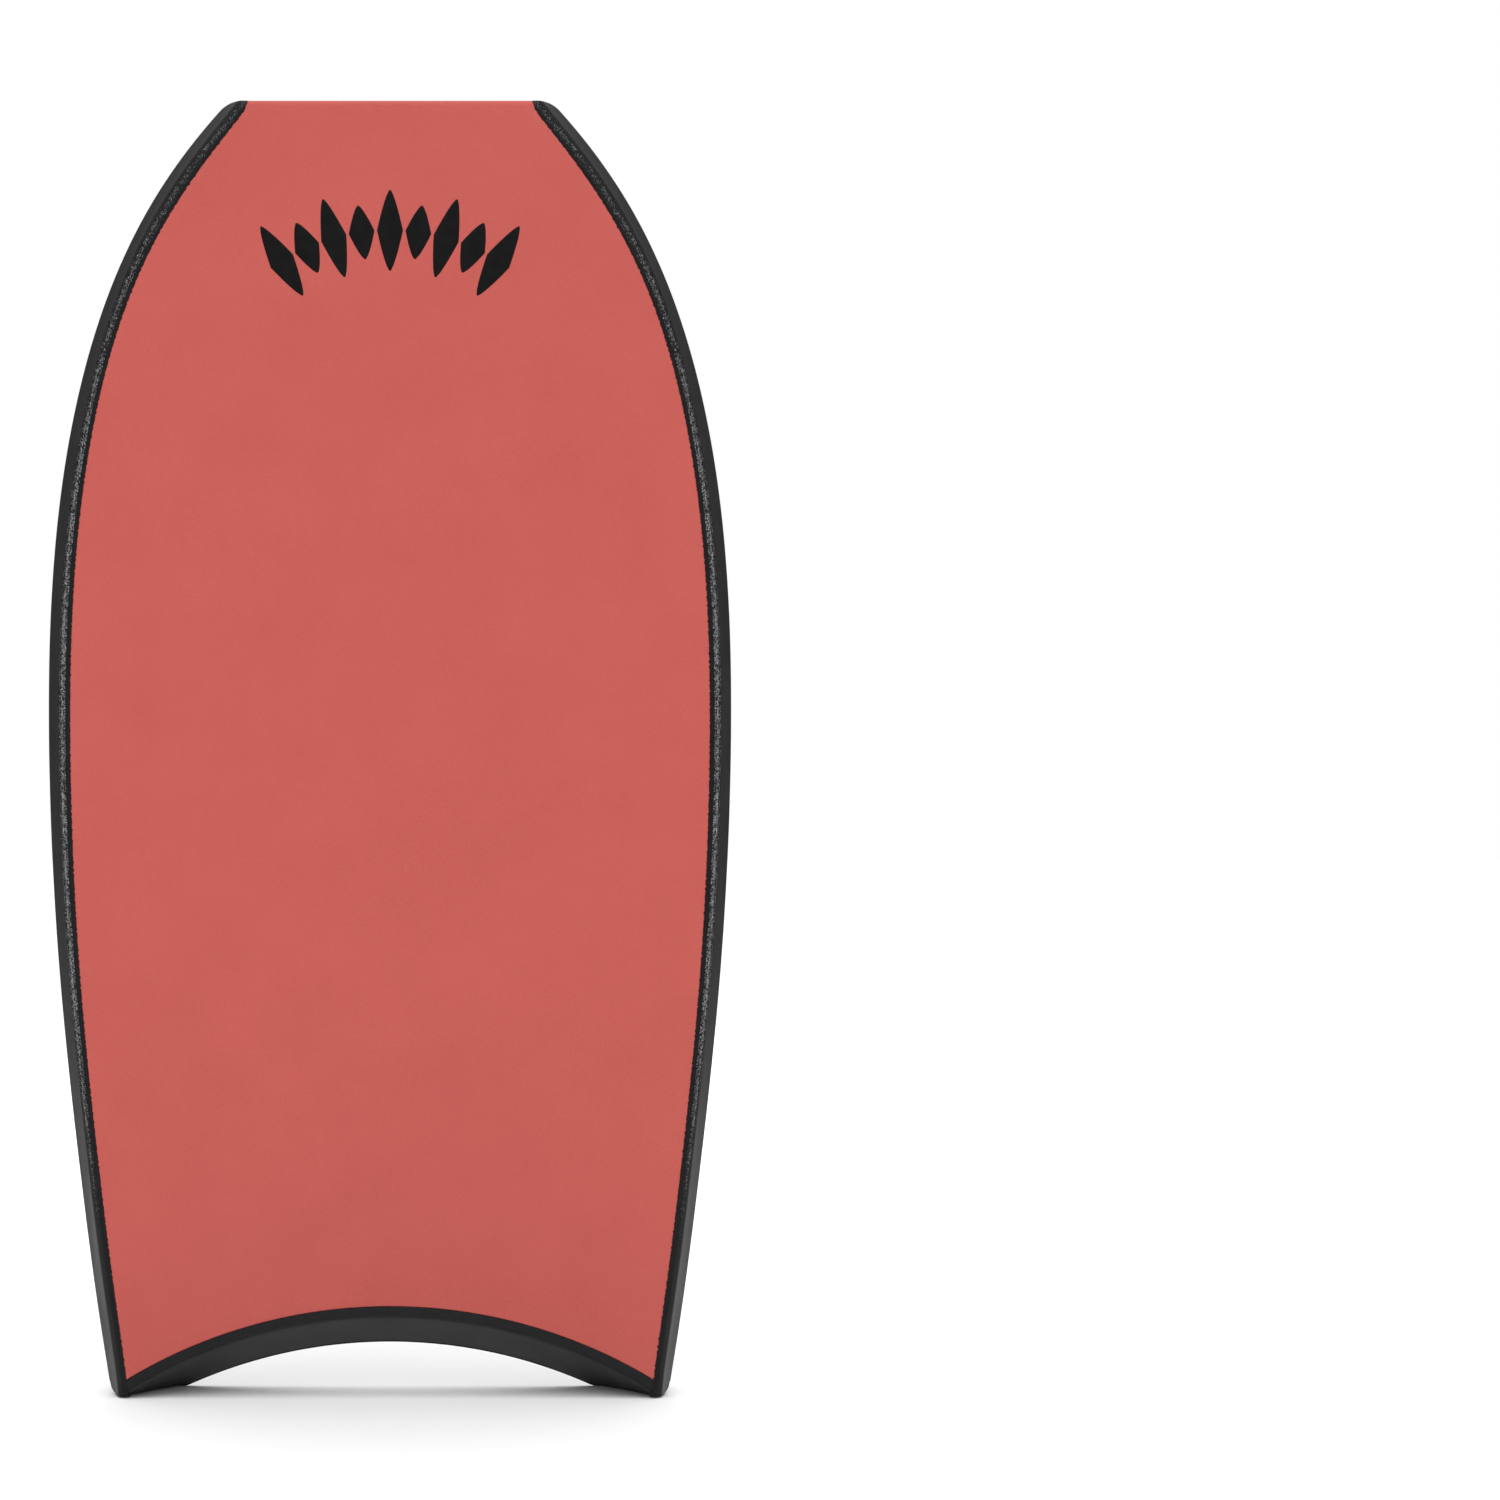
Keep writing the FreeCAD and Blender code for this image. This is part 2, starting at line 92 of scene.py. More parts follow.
def corner_line(node, toward):
    """x of the section's outermost corner in one direction, as a smooth function of height."""
    heights = np.linspace(LINE_MARGIN_TAIL, LENGTH - LINE_MARGIN_NOSE, LINE_SAMPLES)
    widths = []
    for height in heights:
        points = section(node, height)
        widths.append(points[np.argmax(points @ np.array(toward)), 0])
    return Chebyshev.fit(heights, widths, LINE_DEGREE)


DECK_LEVEL = section("deck_skin", FLAT_HEIGHT)[:, 1].min()
SLICK_LEVEL = section("slick", FLAT_HEIGHT)[:, 1].max()

deck_edge_line = corner_line("deck_chine_right", (-1, -3))
deck_corner = corner_line("deck_chine_right", (1, -3))
chine_corner = corner_line("deck_chine_right", (0.8, -0.6))
widest = corner_line("rail_upper_right", (1, 0))
seam_corner = corner_line("rail_lower_right", (0.8, 0.6))
slick_corner = corner_line("slick_chine_right", (1, 3))
slick_edge = corner_line("slick_chine_right", (-1, 3))


def soft_max(first, second, blend):
    """The larger of two lengths, with the crease between them rounded."""
    gap = np.maximum(blend - np.abs(first - second), 0) / blend
    return np.maximum(first, second) + gap**2 * blend / 4


NOSE_EDGE = 116.9 * MM  # the skin's corners at the nose are cut square at this half width
NOSE_EDGE_BLEND = 6 * MM


def deck_edge(height):
    """Half the width of the deck skin."""
    return soft_max(deck_edge_line(height), NOSE_EDGE, NOSE_EDGE_BLEND)


def rocker(height, radius):
    """How far a rocker arc has left the straight line at a height."""
    run = np.maximum(0, height - ROCKER_START)
    return radius - np.sqrt(radius**2 - run**2)


def deck(height):
    return DECK_LEVEL - rocker(height, DECK_ROCKER_RADIUS)


def slick(height):
    return SLICK_LEVEL - rocker(height, SLICK_ROCKER_RADIUS)


WIDEST_SHARE = 0.407
CHINE_DEPTH = 3.5 * MM
DECK_STRIP_DEPTH = 5.5 * MM
SEAM_DEPTH = 5.5 * MM
SLICK_STRIP_DEPTH = 5 * MM
RAIL_SEAM_DROP = 1 * MM


def widest_level(height):
    return deck(height) + WIDEST_SHARE * (slick(height) - deck(height))


def inner_width(level, height):
    """Half the width of the board between its rails, which changes from deck to slick."""
    share = (level - deck(height)) / (slick(height) - deck(height))
    return deck_edge(height) + share * (slick_edge(height) - deck_edge(height))


# --------------------------------------------------
# Nose and tail
# --------------------------------------------------

NOSE_ROLL = 6 * MM
NOSE_FLAT_RUN = 12 * MM
NOSE_SLOPE = 0.21
NOSE_SLICK_DROP = 10.5 * MM
NOSE_BEVEL_RUN = 3 * MM
NOSE_TRIM_HEIGHT = 11 * MM
NOSE_TRIM_DEPTH = 5 * MM

NOSE_DECK = deck(LENGTH)
NOSE_FLAT_END = NOSE_DECK + NOSE_FLAT_RUN
NOSE_SLICK = slick(LENGTH - NOSE_SLICK_DROP)
NOSE_BEVEL = NOSE_SLICK - NOSE_BEVEL_RUN
TRIM_LEVEL = LENGTH - NOSE_TRIM_HEIGHT
TRIM_START = slick(TRIM_LEVEL) - NOSE_TRIM_DEPTH

CRESCENT_RADIUS = 411 * MM
CRESCENT_DECK = 68 * MM
CRESCENT_SLICK = 37 * MM
TAIL_TRIM = 8 * MM
SLICK_TRIM = 4.5 * MM


def front(level):
    """Height of the nose's front face at a level between deck and slick."""
    slope_end = LENGTH - NOSE_SLOPE * (NOSE_BEVEL - NOSE_FLAT_END)
    levels = [NOSE_DECK + NOSE_ROLL, NOSE_FLAT_END, NOSE_BEVEL, NOSE_SLICK]
    heights = [LENGTH, LENGTH, slope_end, LENGTH - NOSE_SLICK_DROP]
    reach = np.clip(NOSE_DECK + NOSE_ROLL - level, 0, NOSE_ROLL)
    drop = NOSE_ROLL - np.sqrt(NOSE_ROLL**2 - reach**2)
    return np.interp(level, levels, heights) - drop


NOSE_CORNER = 11 * MM  # radius of the rail ends' outer corners, seen from the deck
NOSE_CORNER_RUN = 0.42
NOSE_CORNER_TURN = 0.66


def rail_front(x, level):
    """Height of a rail's nose end, with its outer corner rounded off."""
    start = widest(LENGTH) - NOSE_CORNER_RUN * NOSE_CORNER
    reach = np.clip(x - start, 0, NOSE_CORNER_TURN * NOSE_CORNER)
    return front(level) - NOSE_CORNER + np.sqrt(NOSE_CORNER**2 - reach**2)


def arc_height(x, radius, top):
    """Height of an arc about the board's middle line whose top and radius are given."""
    return top - radius + np.sqrt(radius**2 - np.minimum(np.abs(x), radius) ** 2)


def crescent(x, level, grow=0.0):
    """Height of the slanted crescent, pulled into the board by a layer's thickness."""
    share = (level - DECK_LEVEL) / (SLICK_LEVEL - DECK_LEVEL)
    top = CRESCENT_DECK + share * (CRESCENT_SLICK - CRESCENT_DECK)
    return arc_height(x, CRESCENT_RADIUS + grow, top + grow)


# --------------------------------------------------
# Relief
# --------------------------------------------------

def sample(places, read):
    """Read one noise value per place, for an array of places of any shape."""
    flat = places.reshape(-1, 3)
    return np.array([read(Vector(place)) for place in flat]).reshape(places.shape[:-1])


def waviness(places, pitch):
    """Soft unevenness of cut foam, from -1 to 1."""
    return sample(places / pitch, lambda place: noise.noise(place))


PEBBLE_GAIN = 1.6  # the higher, the flatter the tops of the grains


def pebble(places, pitch):
    """Rounded grains of embossed foam, from 0 in the valleys to 1 on the grains."""
    def grain(place):
        nearest, second = noise.voronoi(place)[0][:2]
        return second - nearest
    return np.clip(sample(places / pitch, grain) * PEBBLE_GAIN, 0, 1)


# --------------------------------------------------
# Mesh building
# --------------------------------------------------

def new_piece(name, vertices, faces, material, masks=None):
    """A smooth shaded mesh object with optional point masks that its material reads."""
    mesh = bpy.data.meshes.new(name)
    mesh.from_pydata([tuple(v) for v in vertices], [], faces)
    mesh.validate()
    for mask, values in (masks or {}).items():
        layer = mesh.attributes.new(mask, "FLOAT", "POINT")
        layer.data.foreach_set("value", np.asarray(values, np.float32))
    mesh.polygons.foreach_set("use_smooth", [True] * len(mesh.polygons))
    mesh.materials.append(material)
    piece = bpy.data.objects.new(name, mesh)
    bpy.context.scene.collection.objects.link(piece)
    turn_outward(piece)
    return piece


def turn_outward(piece):
    """Make every face point out of the solid."""
    shell = bmesh.new()
    shell.from_mesh(piece.data)
    bmesh.ops.recalc_face_normals(shell, faces=shell.faces)
    shell.to_mesh(piece.data)
    shell.free()


def join_parts(parts):
    """Several (vertices, faces) as one."""
    vertices, faces, start = [], [], 0
    for part_vertices, part_faces in parts:
        vertices.extend(part_vertices)
        faces.extend([tuple(start + i for i in face) for face in part_faces])
        start += len(part_vertices)
    return vertices, faces


EDGE_RINGS = 3


def ring_profile(thickness, rounding):
    """Distances from the edge and depths of the rings that make a wall and a rolled edge."""
    turns = np.linspace(0, math.pi / 2, EDGE_RINGS + 1)
    distances = np.concatenate([[0], rounding * (1 - np.cos(turns))])
    depths = np.concatenate([[thickness], rounding * (1 - np.sin(turns))])
    return distances, depths


def spread(length, thickness, rounding, spans):
    """Shares along a slab's side, with its rolled edges, and the depth at each of them."""
    distances, depths = ring_profile(thickness, rounding)
    inside = np.linspace(rounding, length - rounding, spans + 1)[1:-1]
    places = np.concatenate([distances, inside, length - distances[::-1]])
    drops = np.concatenate([depths, np.zeros(len(inside)), depths[::-1]])
    under = np.linspace(0, rounding, len(distances))
    base = np.concatenate([under, inside, length - under[::-1]])
    return places / length, base / length, drops


def slab(place, length, width, thickness, rounding, rows, columns, relief=None):
    """A closed sheet over a rectangle of shares (across, along), as vertices, faces and rim mask.

    place(across, along, depth) gives the position: across runs from -1 to 1, along from 0 to 1,
    and depth is measured down from the visible face. length and width are the sheet's rough size,
    which only decides how wide its rolled edges come out.
    """
    along, along_base, drop_along = spread(length, thickness, rounding, rows)
    across, across_base, drop_across = spread(width, thickness, rounding, columns)
    depth = np.maximum.outer(drop_along, drop_across)
    s, q = np.meshgrid(along, 2 * across - 1, indexing="ij")
    top = np.stack(place(q, s, depth), axis=-1)
    if relief is not None:
        fade = 1 - np.clip(depth / rounding, 0, 1)
        top = np.stack(place(q, s, depth - relief(top) * fade), axis=-1)
    s, q = np.meshgrid(along_base, 2 * across_base - 1, indexing="ij")
    base = np.stack(place(q, s, np.full(q.shape, thickness)), axis=-1)
    count_along, count_across = depth.shape
    inner = np.zeros(depth.shape, bool)
    inner[1:-1, 1:-1] = True
    top_index = np.arange(depth.size).reshape(depth.shape)
    base_index = top_index.copy()
    base_index[inner] = depth.size + np.arange(inner.sum())
    vertices = np.concatenate([top.reshape(-1, 3), base[inner]])
    faces = []
    for index, order in ((top_index, 1), (base_index, -1)):
        for i in range(count_along - 1):
            for j in range(count_across - 1):
                quad = (index[i, j], index[i, j + 1], index[i + 1, j + 1], index[i + 1, j])
                faces.append(tuple(int(n) for n in quad[::order]))
    rim = np.concatenate([np.clip(depth / rounding, 0, 1).ravel(), np.ones(inner.sum())])
    return vertices, faces, rim


END_RINGS = 4
END_GUESS = 10 * MM  # how far from the board's ends the search for a strip's ends starts
END_TRIES = 12


def toward(start, end, distance):
    """The points that lie some distance from start on the way to end."""
    step = end - start
    return start + step / np.linalg.norm(step, axis=-1, keepdims=True) * distance


def loop_point(corners, number, share, on_edge, height):
    """A point of a section with rolled corners: on a corner's curve or on the edge after it."""
    place, roll = corners[number][0], corners[number][1]
    here = np.stack(place(height), axis=-1)
    after = np.stack(corners[(number + 1) % len(corners)][0](height), axis=-1)
    if on_edge:
        next_roll = corners[(number + 1) % len(corners)][1]
        start, end = toward(here, after, roll), toward(after, here, next_roll)
        out = np.stack([(end - start)[..., 1], -(end - start)[..., 0]], axis=-1)
        out /= np.linalg.norm(out, axis=-1, keepdims=True)
        crown = corners[number][4]
        return start + share * (end - start) - out * crown * 4 * share * (1 - share)
    before = np.stack(corners[number - 1][0](height), axis=-1)
    start, end = toward(here, before, roll), toward(here, after, roll)
    return (1 - share) ** 2 * start + 2 * share * (1 - share) * here + share**2 * end


def loop_plan(corners):
    """Which points make the section: (corner number, share, whether it is on the edge after)."""
    plan = []
    for number, (_, roll, steps, spans, _) in enumerate(corners):
        shares = np.linspace(0, 1, steps + 1) if roll > 0 else [0.5]
        plan += [(number, share, False) for share in shares]
        plan += [(number, share / spans, True) for share in range(1, spans)]
    return plan


def squareness(end, place):
    """How square a strip's end stands to its length at a point: 1 across it, towards 0 along it."""
    step = 0.2 * MM
    x, level = place.T
    slope = (end(x + step, level) - end(x - step, level)) / (2 * step)
    return 1 / np.hypot(1, slope)


def strip(corners, foot, side, pitch, end_roll, relief=None):
    """A closed strip that runs the length of the board, as vertices, faces and crest mask.

    corners are (place, roll, steps, spans, crown) round the section, seen from the nose, and
    foot(x, level) is the strip's lowest height. side is 1 for the right rail and -1 for the left.
    """
    plan = loop_plan(corners)
    turns = np.linspace(0, math.pi / 2, END_RINGS)
    shift, inset = end_roll * (1 - np.cos(turns)), end_roll * (1 - np.sin(turns))
    rows = int(LENGTH / pitch)
    share = np.linspace(0, 1, rows + 1)[1:-1]
    rings, pulls = [], []
    for number, along, on_edge in plan:
        low, high = np.array([END_GUESS]), np.array([LENGTH - END_GUESS])
        for _ in range(END_TRIES):
            low_place = loop_point(corners, number, along, on_edge, low)
            high_place = loop_point(corners, number, along, on_edge, high)
            low, high = foot(*low_place.T), rail_front(*high_place.T)
        low_pull = inset * squareness(foot, low_place) ** 2
        high_pull = inset * squareness(rail_front, high_place) ** 2
        pulls.append(np.concatenate([low_pull, np.zeros(len(share)), high_pull[::-1]]))
        middle = low + end_roll + share * (high - low - 2 * end_roll)
        height = np.concatenate([low + shift, middle, high - shift[::-1]])
        flat = loop_point(corners, number, along, on_edge, height)
        rings.append(np.column_stack([flat, height]))
    rings = np.stack(rings, axis=1)
    centre = rings.mean(axis=1, keepdims=True)
    inward = centre - rings
    inward[..., 2] = 0
    inward /= np.linalg.norm(inward, axis=-1, keepdims=True)
    rings += inward * np.stack(pulls, axis=1)[..., None]
    crest = np.zeros(rings.shape[:2])
    if relief is not None:
        crest, lifted = relief(rings, plan)
        rings -= inward * lifted[..., None]
    rings[..., 0] *= side
    return tube(rings, crest)


def tube(rings, crest):
    """Faces round a stack of rings, closed at both ends by a fan."""
    count, around = rings.shape[:2]
    vertices = rings.reshape(-1, 3)
    index = np.arange(count * around).reshape(count, around)
    following = np.roll(index, -1, axis=1)
    quads = np.stack([index[:-1], following[:-1], following[1:], index[1:]], axis=-1)
    faces = [tuple(int(n) for n in quad) for quad in quads.reshape(-1, 4)]
    ends = np.stack([rings[0].mean(axis=0), rings[-1].mean(axis=0)])
    for row, centre in ((0, len(vertices)), (count - 1, len(vertices) + 1)):
        for j in range(around):
            faces.append((int(index[row, j]), int(following[row, j]), centre))
    return np.concatenate([vertices, ends]), faces, np.concatenate([crest.ravel(), [0, 0]])


# --------------------------------------------------
# Materials
# --------------------------------------------------

RANGE_SOCKETS = ("From Min", "From Max", "To Min", "To Max")


class Finish:
    """A node material under construction: a Principled shader and helpers that wire nodes to it."""

    def __init__(self, name):
        self.material = bpy.data.materials.new(name)
        self.material.use_nodes = True
        self.nodes = self.material.node_tree.nodes
        self.links = self.material.node_tree.links
        self.shader = self.nodes["Principled BSDF"]
        self.place = self.nodes.new("ShaderNodeTexCoord").outputs["Object"]

    def link(self, value, socket):
        """Wire a socket, or set a plain value."""
        if isinstance(value, bpy.types.NodeSocket):
            self.links.new(value, socket)
        elif isinstance(value, tuple) and len(value) == 3 and socket.type == "RGBA":
            socket.default_value = (*value, 1)
        else:
            socket.default_value = value

    def noise(self, scale, detail=3.0, roughness=0.55, stretch=(1, 1, 1)):
        """Noise from 0 to 1 with features about 1 / scale metres long."""
        node = self.nodes.new("ShaderNodeTexNoise")
        self.link(self.stretched(stretch), node.inputs["Vector"])
        node.inputs["Scale"].default_value = scale
        node.inputs["Detail"].default_value = detail
        node.inputs["Roughness"].default_value = roughness
        return node.outputs["Fac"]

    def cells(self, scale, feature="F1"):
        """Distance inside cells about 1 / scale metres wide."""
        node = self.nodes.new("ShaderNodeTexVoronoi")
        node.feature = feature
        self.link(self.place, node.inputs["Vector"])
        node.inputs["Scale"].default_value = scale
        return node.outputs["Distance"]

    def stretched(self, stretch):
        if stretch == (1, 1, 1):
            return self.place
        node = self.nodes.new("ShaderNodeMapping")
        self.link(self.place, node.inputs["Vector"])
        node.inputs["Scale"].default_value = stretch
        return node.outputs["Vector"]

    def remap(self, value, low, high, to_low=0.0, to_high=1.0):
        node = self.nodes.new("ShaderNodeMapRange")
        self.link(value, node.inputs["Value"])
        for socket, number in zip(RANGE_SOCKETS, (low, high, to_low, to_high)):
            node.inputs[socket].default_value = number
        return node.outputs["Result"]

    def mix(self, share, first, second):
        """Blend two colours."""
        node = self.nodes.new("ShaderNodeMix")
        node.data_type = "RGBA"
        self.link(share, node.inputs["Factor"])
        self.link(first, node.inputs[6])  # inputs 6 and 7 and output 2 are the colour ones
        self.link(second, node.inputs[7])
        return node.outputs[2]

    def maths(self, operation, first, second=0.0):
        node = self.nodes.new("ShaderNodeMath")
        node.operation = operation
        self.link(first, node.inputs[0])
        self.link(second, node.inputs[1])
        return node.outputs["Value"]

    def axis(self, name):
        """One coordinate of the place, in metres."""
        node = self.nodes.new("ShaderNodeSeparateXYZ")
        self.link(self.place, node.inputs[0])
        return node.outputs[name]

    def waves(self, length, pitch):
        """A wave along a length, from -1 to 1."""
        return self.maths("SINE", self.maths("MULTIPLY", length, 2 * math.pi / pitch))

    def mask(self, name):
        """A point mask that the mesh carries."""
        node = self.nodes.new("ShaderNodeAttribute")
        node.attribute_name = name
        return node.outputs["Fac"]

    def bump(self, height, distance, strength=1.0, below=None):
        """Relief too fine for the mesh, over an optional coarser one."""
        node = self.nodes.new("ShaderNodeBump")
        self.link(height, node.inputs["Height"])
        node.inputs["Distance"].default_value = distance
        node.inputs["Strength"].default_value = strength
        if below is not None:
            self.link(below, node.inputs["Normal"])
        return node.outputs["Normal"]

    def finish(self, **inputs):
        """Wire the shader's inputs, named with underscores for spaces, and give the material."""
        for name, value in inputs.items():
            self.link(value, self.shader.inputs[name.replace("_", " ")])
        return self.material


PAINTED_GLINT_TONE = (0.345, 0.345, 0.356)  # painted glint: pale grey laid on the tops of the raised grains


def deck_foam():
    """Coral closed-cell foam: matte, finely pebbled, a little uneven, with painted shade in the valleys
    between its grains and along its cut edges.
    """
    f = Finish("deck_foam")
    grain = f.cells(900, "SMOOTH_F1")
    fine = f.noise(2400, 2)
    cloud = f.noise(16, 3, 0.5)
    mottle = f.noise(420, 3, 0.6)
    base = f.mix(f.remap(cloud, 0.3, 0.7), (0.502, 0.0945, 0.0790), (0.530, 0.1030, 0.0865))
    base = f.mix(f.remap(mottle, 0.35, 0.7, 0, 0.25), base, (0.590, 0.132, 0.112))
    # painted shade: the valleys between the pebble's grains are darkened
    base = f.mix(f.remap(grain, 0.25, 0.62, 0, 0.18), base, (0.400, 0.062, 0.052))
    # painted shade: the rolled edges against the strips are darkened unevenly to a deep red, where the
    # groove falls into shade
    painted_edge_shade = f.maths("MULTIPLY", f.mask("rim"), f.remap(f.noise(750, 2), 0.3, 0.7, 0.4, 1.8))
    base = f.mix(f.remap(painted_edge_shade, 0.04, 0.4, 0, 0.9), base, (0.110, 0.010, 0.009))
    pebbled = f.bump(f.maths("SUBTRACT", 1.0, grain), 0.00022, 0.55)
    normal = f.bump(fine, 0.00006, 0.5, pebbled)
    roughness = f.remap(mottle, 0.3, 0.7, 0.72, 0.86)
    return f.finish(Base_Color=base, Roughness=roughness, Normal=normal, Specular_IOR_Level=0.28)


def rail_foam(name, dark, light):
    """Charcoal rail foam: smooth and satin, with soft patches, drag marks along it, pale flecks and a
    painted pale glint on the tops of its raised grains.
    """
    f = Finish(name)
    cloud = f.noise(26, 4, 0.6)
    drag = f.noise(180, 3, 0.6, (1, 1, 0.05))
    fine = f.noise(1900, 2)
    base = f.mix(f.remap(cloud, 0.3, 0.75), dark, light)
    base = f.mix(f.remap(fine, 0.62, 0.8, 0, 0.35), base, (0.060, 0.060, 0.063))
    # painted glint: the tops of the raised grains are lightened to pale grey
    base = f.mix(f.remap(f.mask("crest"), 0.12, 0.7, 0, 0.9), base, PAINTED_GLINT_TONE)
    roughness = f.maths("ADD", f.remap(cloud, 0.3, 0.7, 0.38, 0.48), f.remap(drag, 0.3, 0.7, -0.03, 0.05))
    smooth = f.bump(drag, 0.00012, 0.25)
    normal = f.bump(fine, 0.00005, 0.45, smooth)
    return f.finish(Base_Color=base, Roughness=roughness, Normal=normal, Specular_IOR_Level=0.22)


def tail_foam():
    """Matte charcoal foam of the cut tail, a little uneven across it."""
    f = Finish("tail_foam")
    cloud = f.noise(22, 4, 0.6)
    fine = f.noise(1600, 2)
    base = f.mix(f.remap(cloud, 0.3, 0.75), (0.0340, 0.0334, 0.0334), (0.0440, 0.0432, 0.0432))
    base = f.mix(f.remap(fine, 0.6, 0.8, 0, 0.3), base, (0.060, 0.060, 0.060))
    normal = f.bump(fine, 0.00008, 0.6)
    roughness = f.remap(fine, 0.3, 0.7, 0.68, 0.8)
    return f.finish(Base_Color=base, Roughness=roughness, Normal=normal, Specular_IOR_Level=0.08)


def chine_foam(name, dark, light):
    """Embossed foam whose raised grains carry a painted pale glint and are a little shiny, with painted
    glint specks at its cell centres.
    """
    f = Finish(name)
    crest = f.mask("crest")
    fine = f.noise(1500, 3, 0.6)
    speck = f.cells(900)
    base = f.mix(f.noise(70, 3), dark, light)
    # painted glint: the tops of the raised grains are lightened to pale grey
    base = f.mix(f.remap(crest, 0.18, 0.8, 0, 0.95), base, PAINTED_GLINT_TONE)
    # painted glints: small pale specks at the centres of the foam's cells
    base = f.mix(f.remap(speck, 0.0, 0.22, 0.1, 0), base, (0.180, 0.180, 0.185))
    grained = f.bump(f.maths("SUBTRACT", 1.0, speck), 0.00025, 0.5)
    normal = f.bump(fine, 0.0001, 0.6, grained)
    roughness = f.remap(crest, 0.2, 1.0, 0.62, 0.4)
    return f.finish(
        Base_Color=base,
        Roughness=roughness,
        Normal=normal,
        Specular_IOR_Level=f.remap(crest, 0.1, 0.7, 0.12, 0.4),
    )


def slick_sheet():
    """Charcoal slick: a smooth glossy sheet, faintly rippled, with soft clouds, a few hairlines and a
    painted highlight along its rolled edge.
    """
    f = Finish("slick_sheet")
    cloud = f.noise(7, 3, 0.5)
    ripple = f.noise(20, 2, 0.5, (1, 1, 0.4))
    hair = f.noise(420, 4, 0.7, (1, 1, 0.03))
    base = f.mix(f.remap(cloud, 0.3, 0.7), (0.0195, 0.0192, 0.0228), (0.0225, 0.0222, 0.0260))
    base = f.mix(f.remap(hair, 0.7, 0.84, 0, 0.12), base, (0.040, 0.040, 0.043))
    # painted highlight: the rolled edge of the sheet is lightened
    base = f.mix(f.remap(f.mask("rim"), 0.02, 1, 0, 0.6), base, (0.045, 0.045, 0.048))
    roughness = f.maths("ADD", f.remap(cloud, 0.3, 0.7, 0.12, 0.16), f.remap(hair, 0.6, 0.8, 0.0, 0.05))
    waved = f.bump(ripple, 0.0003, 0.25)
    normal = f.bump(hair, 0.00001, 0.15, waved)
    return f.finish(Base_Color=base, Roughness=roughness, Normal=normal, Specular_IOR_Level=0.5)


def core_foam():
    """White expanded bead foam: packed cells with shaded borders."""
    f = Finish("core_foam")
    border = f.cells(300, "DISTANCE_TO_EDGE")
    base = f.mix(f.remap(border, 0.0, 0.12), (0.52, 0.52, 0.50), (0.84, 0.84, 0.82))
    base = f.mix(f.remap(f.noise(45), 0.35, 0.7, 0, 0.3), base, (0.76, 0.76, 0.73))
    normal = f.bump(f.remap(border, 0.0, 0.25), 0.0005, 0.6)
    return f.finish(Base_Color=base, Roughness=0.7, Normal=normal)


def mesh_film():
    """Film with a woven grid of threads laminated into it."""
    f = Finish("mesh_film")
    thread = f.maths("MAXIMUM", f.waves(f.axis("X"), 6 * MM), f.waves(f.axis("Z"), 6 * MM))
    base = f.mix(f.remap(thread, 0.86, 0.95), (0.10, 0.10, 0.105), (0.32, 0.32, 0.33))
    base = f.mix(f.remap(f.noise(500), 0.4, 0.8, 0, 0.3), base, (0.2, 0.2, 0.2))
    normal = f.bump(f.remap(thread, 0.8, 1.0), 0.0002, 0.6)
    return f.finish(Base_Color=base, Roughness=0.5, Normal=normal)


def stringer_carbon():
    """Wound carbon tube: crossed bands of dark fibre under resin."""
    f = Finish("stringer_carbon")
    x, z = f.axis("X"), f.axis("Z")
    turn, back = f.maths("ADD", z, x), f.maths("SUBTRACT", z, x)
    weave = f.maths("MULTIPLY", f.waves(turn, 4 * MM), f.waves(back, 4 * MM))
    base = f.mix(f.remap(weave, -0.2, 0.2), (0.012, 0.012, 0.013), (0.05, 0.05, 0.053))
    base = f.mix(f.remap(f.noise(800), 0.5, 0.8, 0, 0.3), base, (0.08, 0.08, 0.08))
    return f.finish(Base_Color=base, Roughness=0.3, Normal=f.bump(weave, 0.0001, 0.5))


def plug_rubber():
    """Moulded rubber with a fine matte grain."""
    f = Finish("plug_rubber")
    fine = f.noise(1200)
    base = f.mix(fine, (0.04, 0.04, 0.04), (0.07, 0.07, 0.07))
    roughness = f.remap(fine, 0.3, 0.7, 0.6, 0.8)
    return f.finish(Base_Color=base, Roughness=roughness, Normal=f.bump(fine, 0.0001))


def ink(name, dark, light, wear):
    """Printed ink that follows the grain of what it is printed on and is thin in specks."""
    f = Finish(name)
    grain = f.cells(620, "SMOOTH_F1")
    fine = f.noise(1300, 3, 0.65)
    base = f.mix(f.remap(f.noise(120), 0.3, 0.7), dark, light)
    base = f.mix(f.remap(fine, 0.66, 0.8, 0, 0.5), base, wear)
    pebbled = f.bump(f.maths("SUBTRACT", 1.0, grain), 0.00015, 0.4)
    return f.finish(
        Base_Color=base,
        Roughness=f.remap(fine, 0.3, 0.7, 0.5, 0.66),
        Normal=f.bump(fine, 0.00004, 0.4, pebbled),
        Specular_IOR_Level=0.15,
    )


CORAL = deck_foam()
UPPER_RAIL = rail_foam("rail_foam", (0.0195, 0.0195, 0.0209), (0.0265, 0.0265, 0.0282))
LOWER_RAIL = rail_foam("lower_rail_foam", (0.0240, 0.0240, 0.0255), (0.0325, 0.0325, 0.0343))
TAIL = tail_foam()
DECK_CHINE = chine_foam("deck_chine_foam", (0.0085, 0.0085, 0.0094), (0.0150, 0.0150, 0.0160))
SLICK_CHINE = chine_foam("slick_chine_foam", (0.0125, 0.0125, 0.0135), (0.0200, 0.0200, 0.0212))
SLICK = slick_sheet()

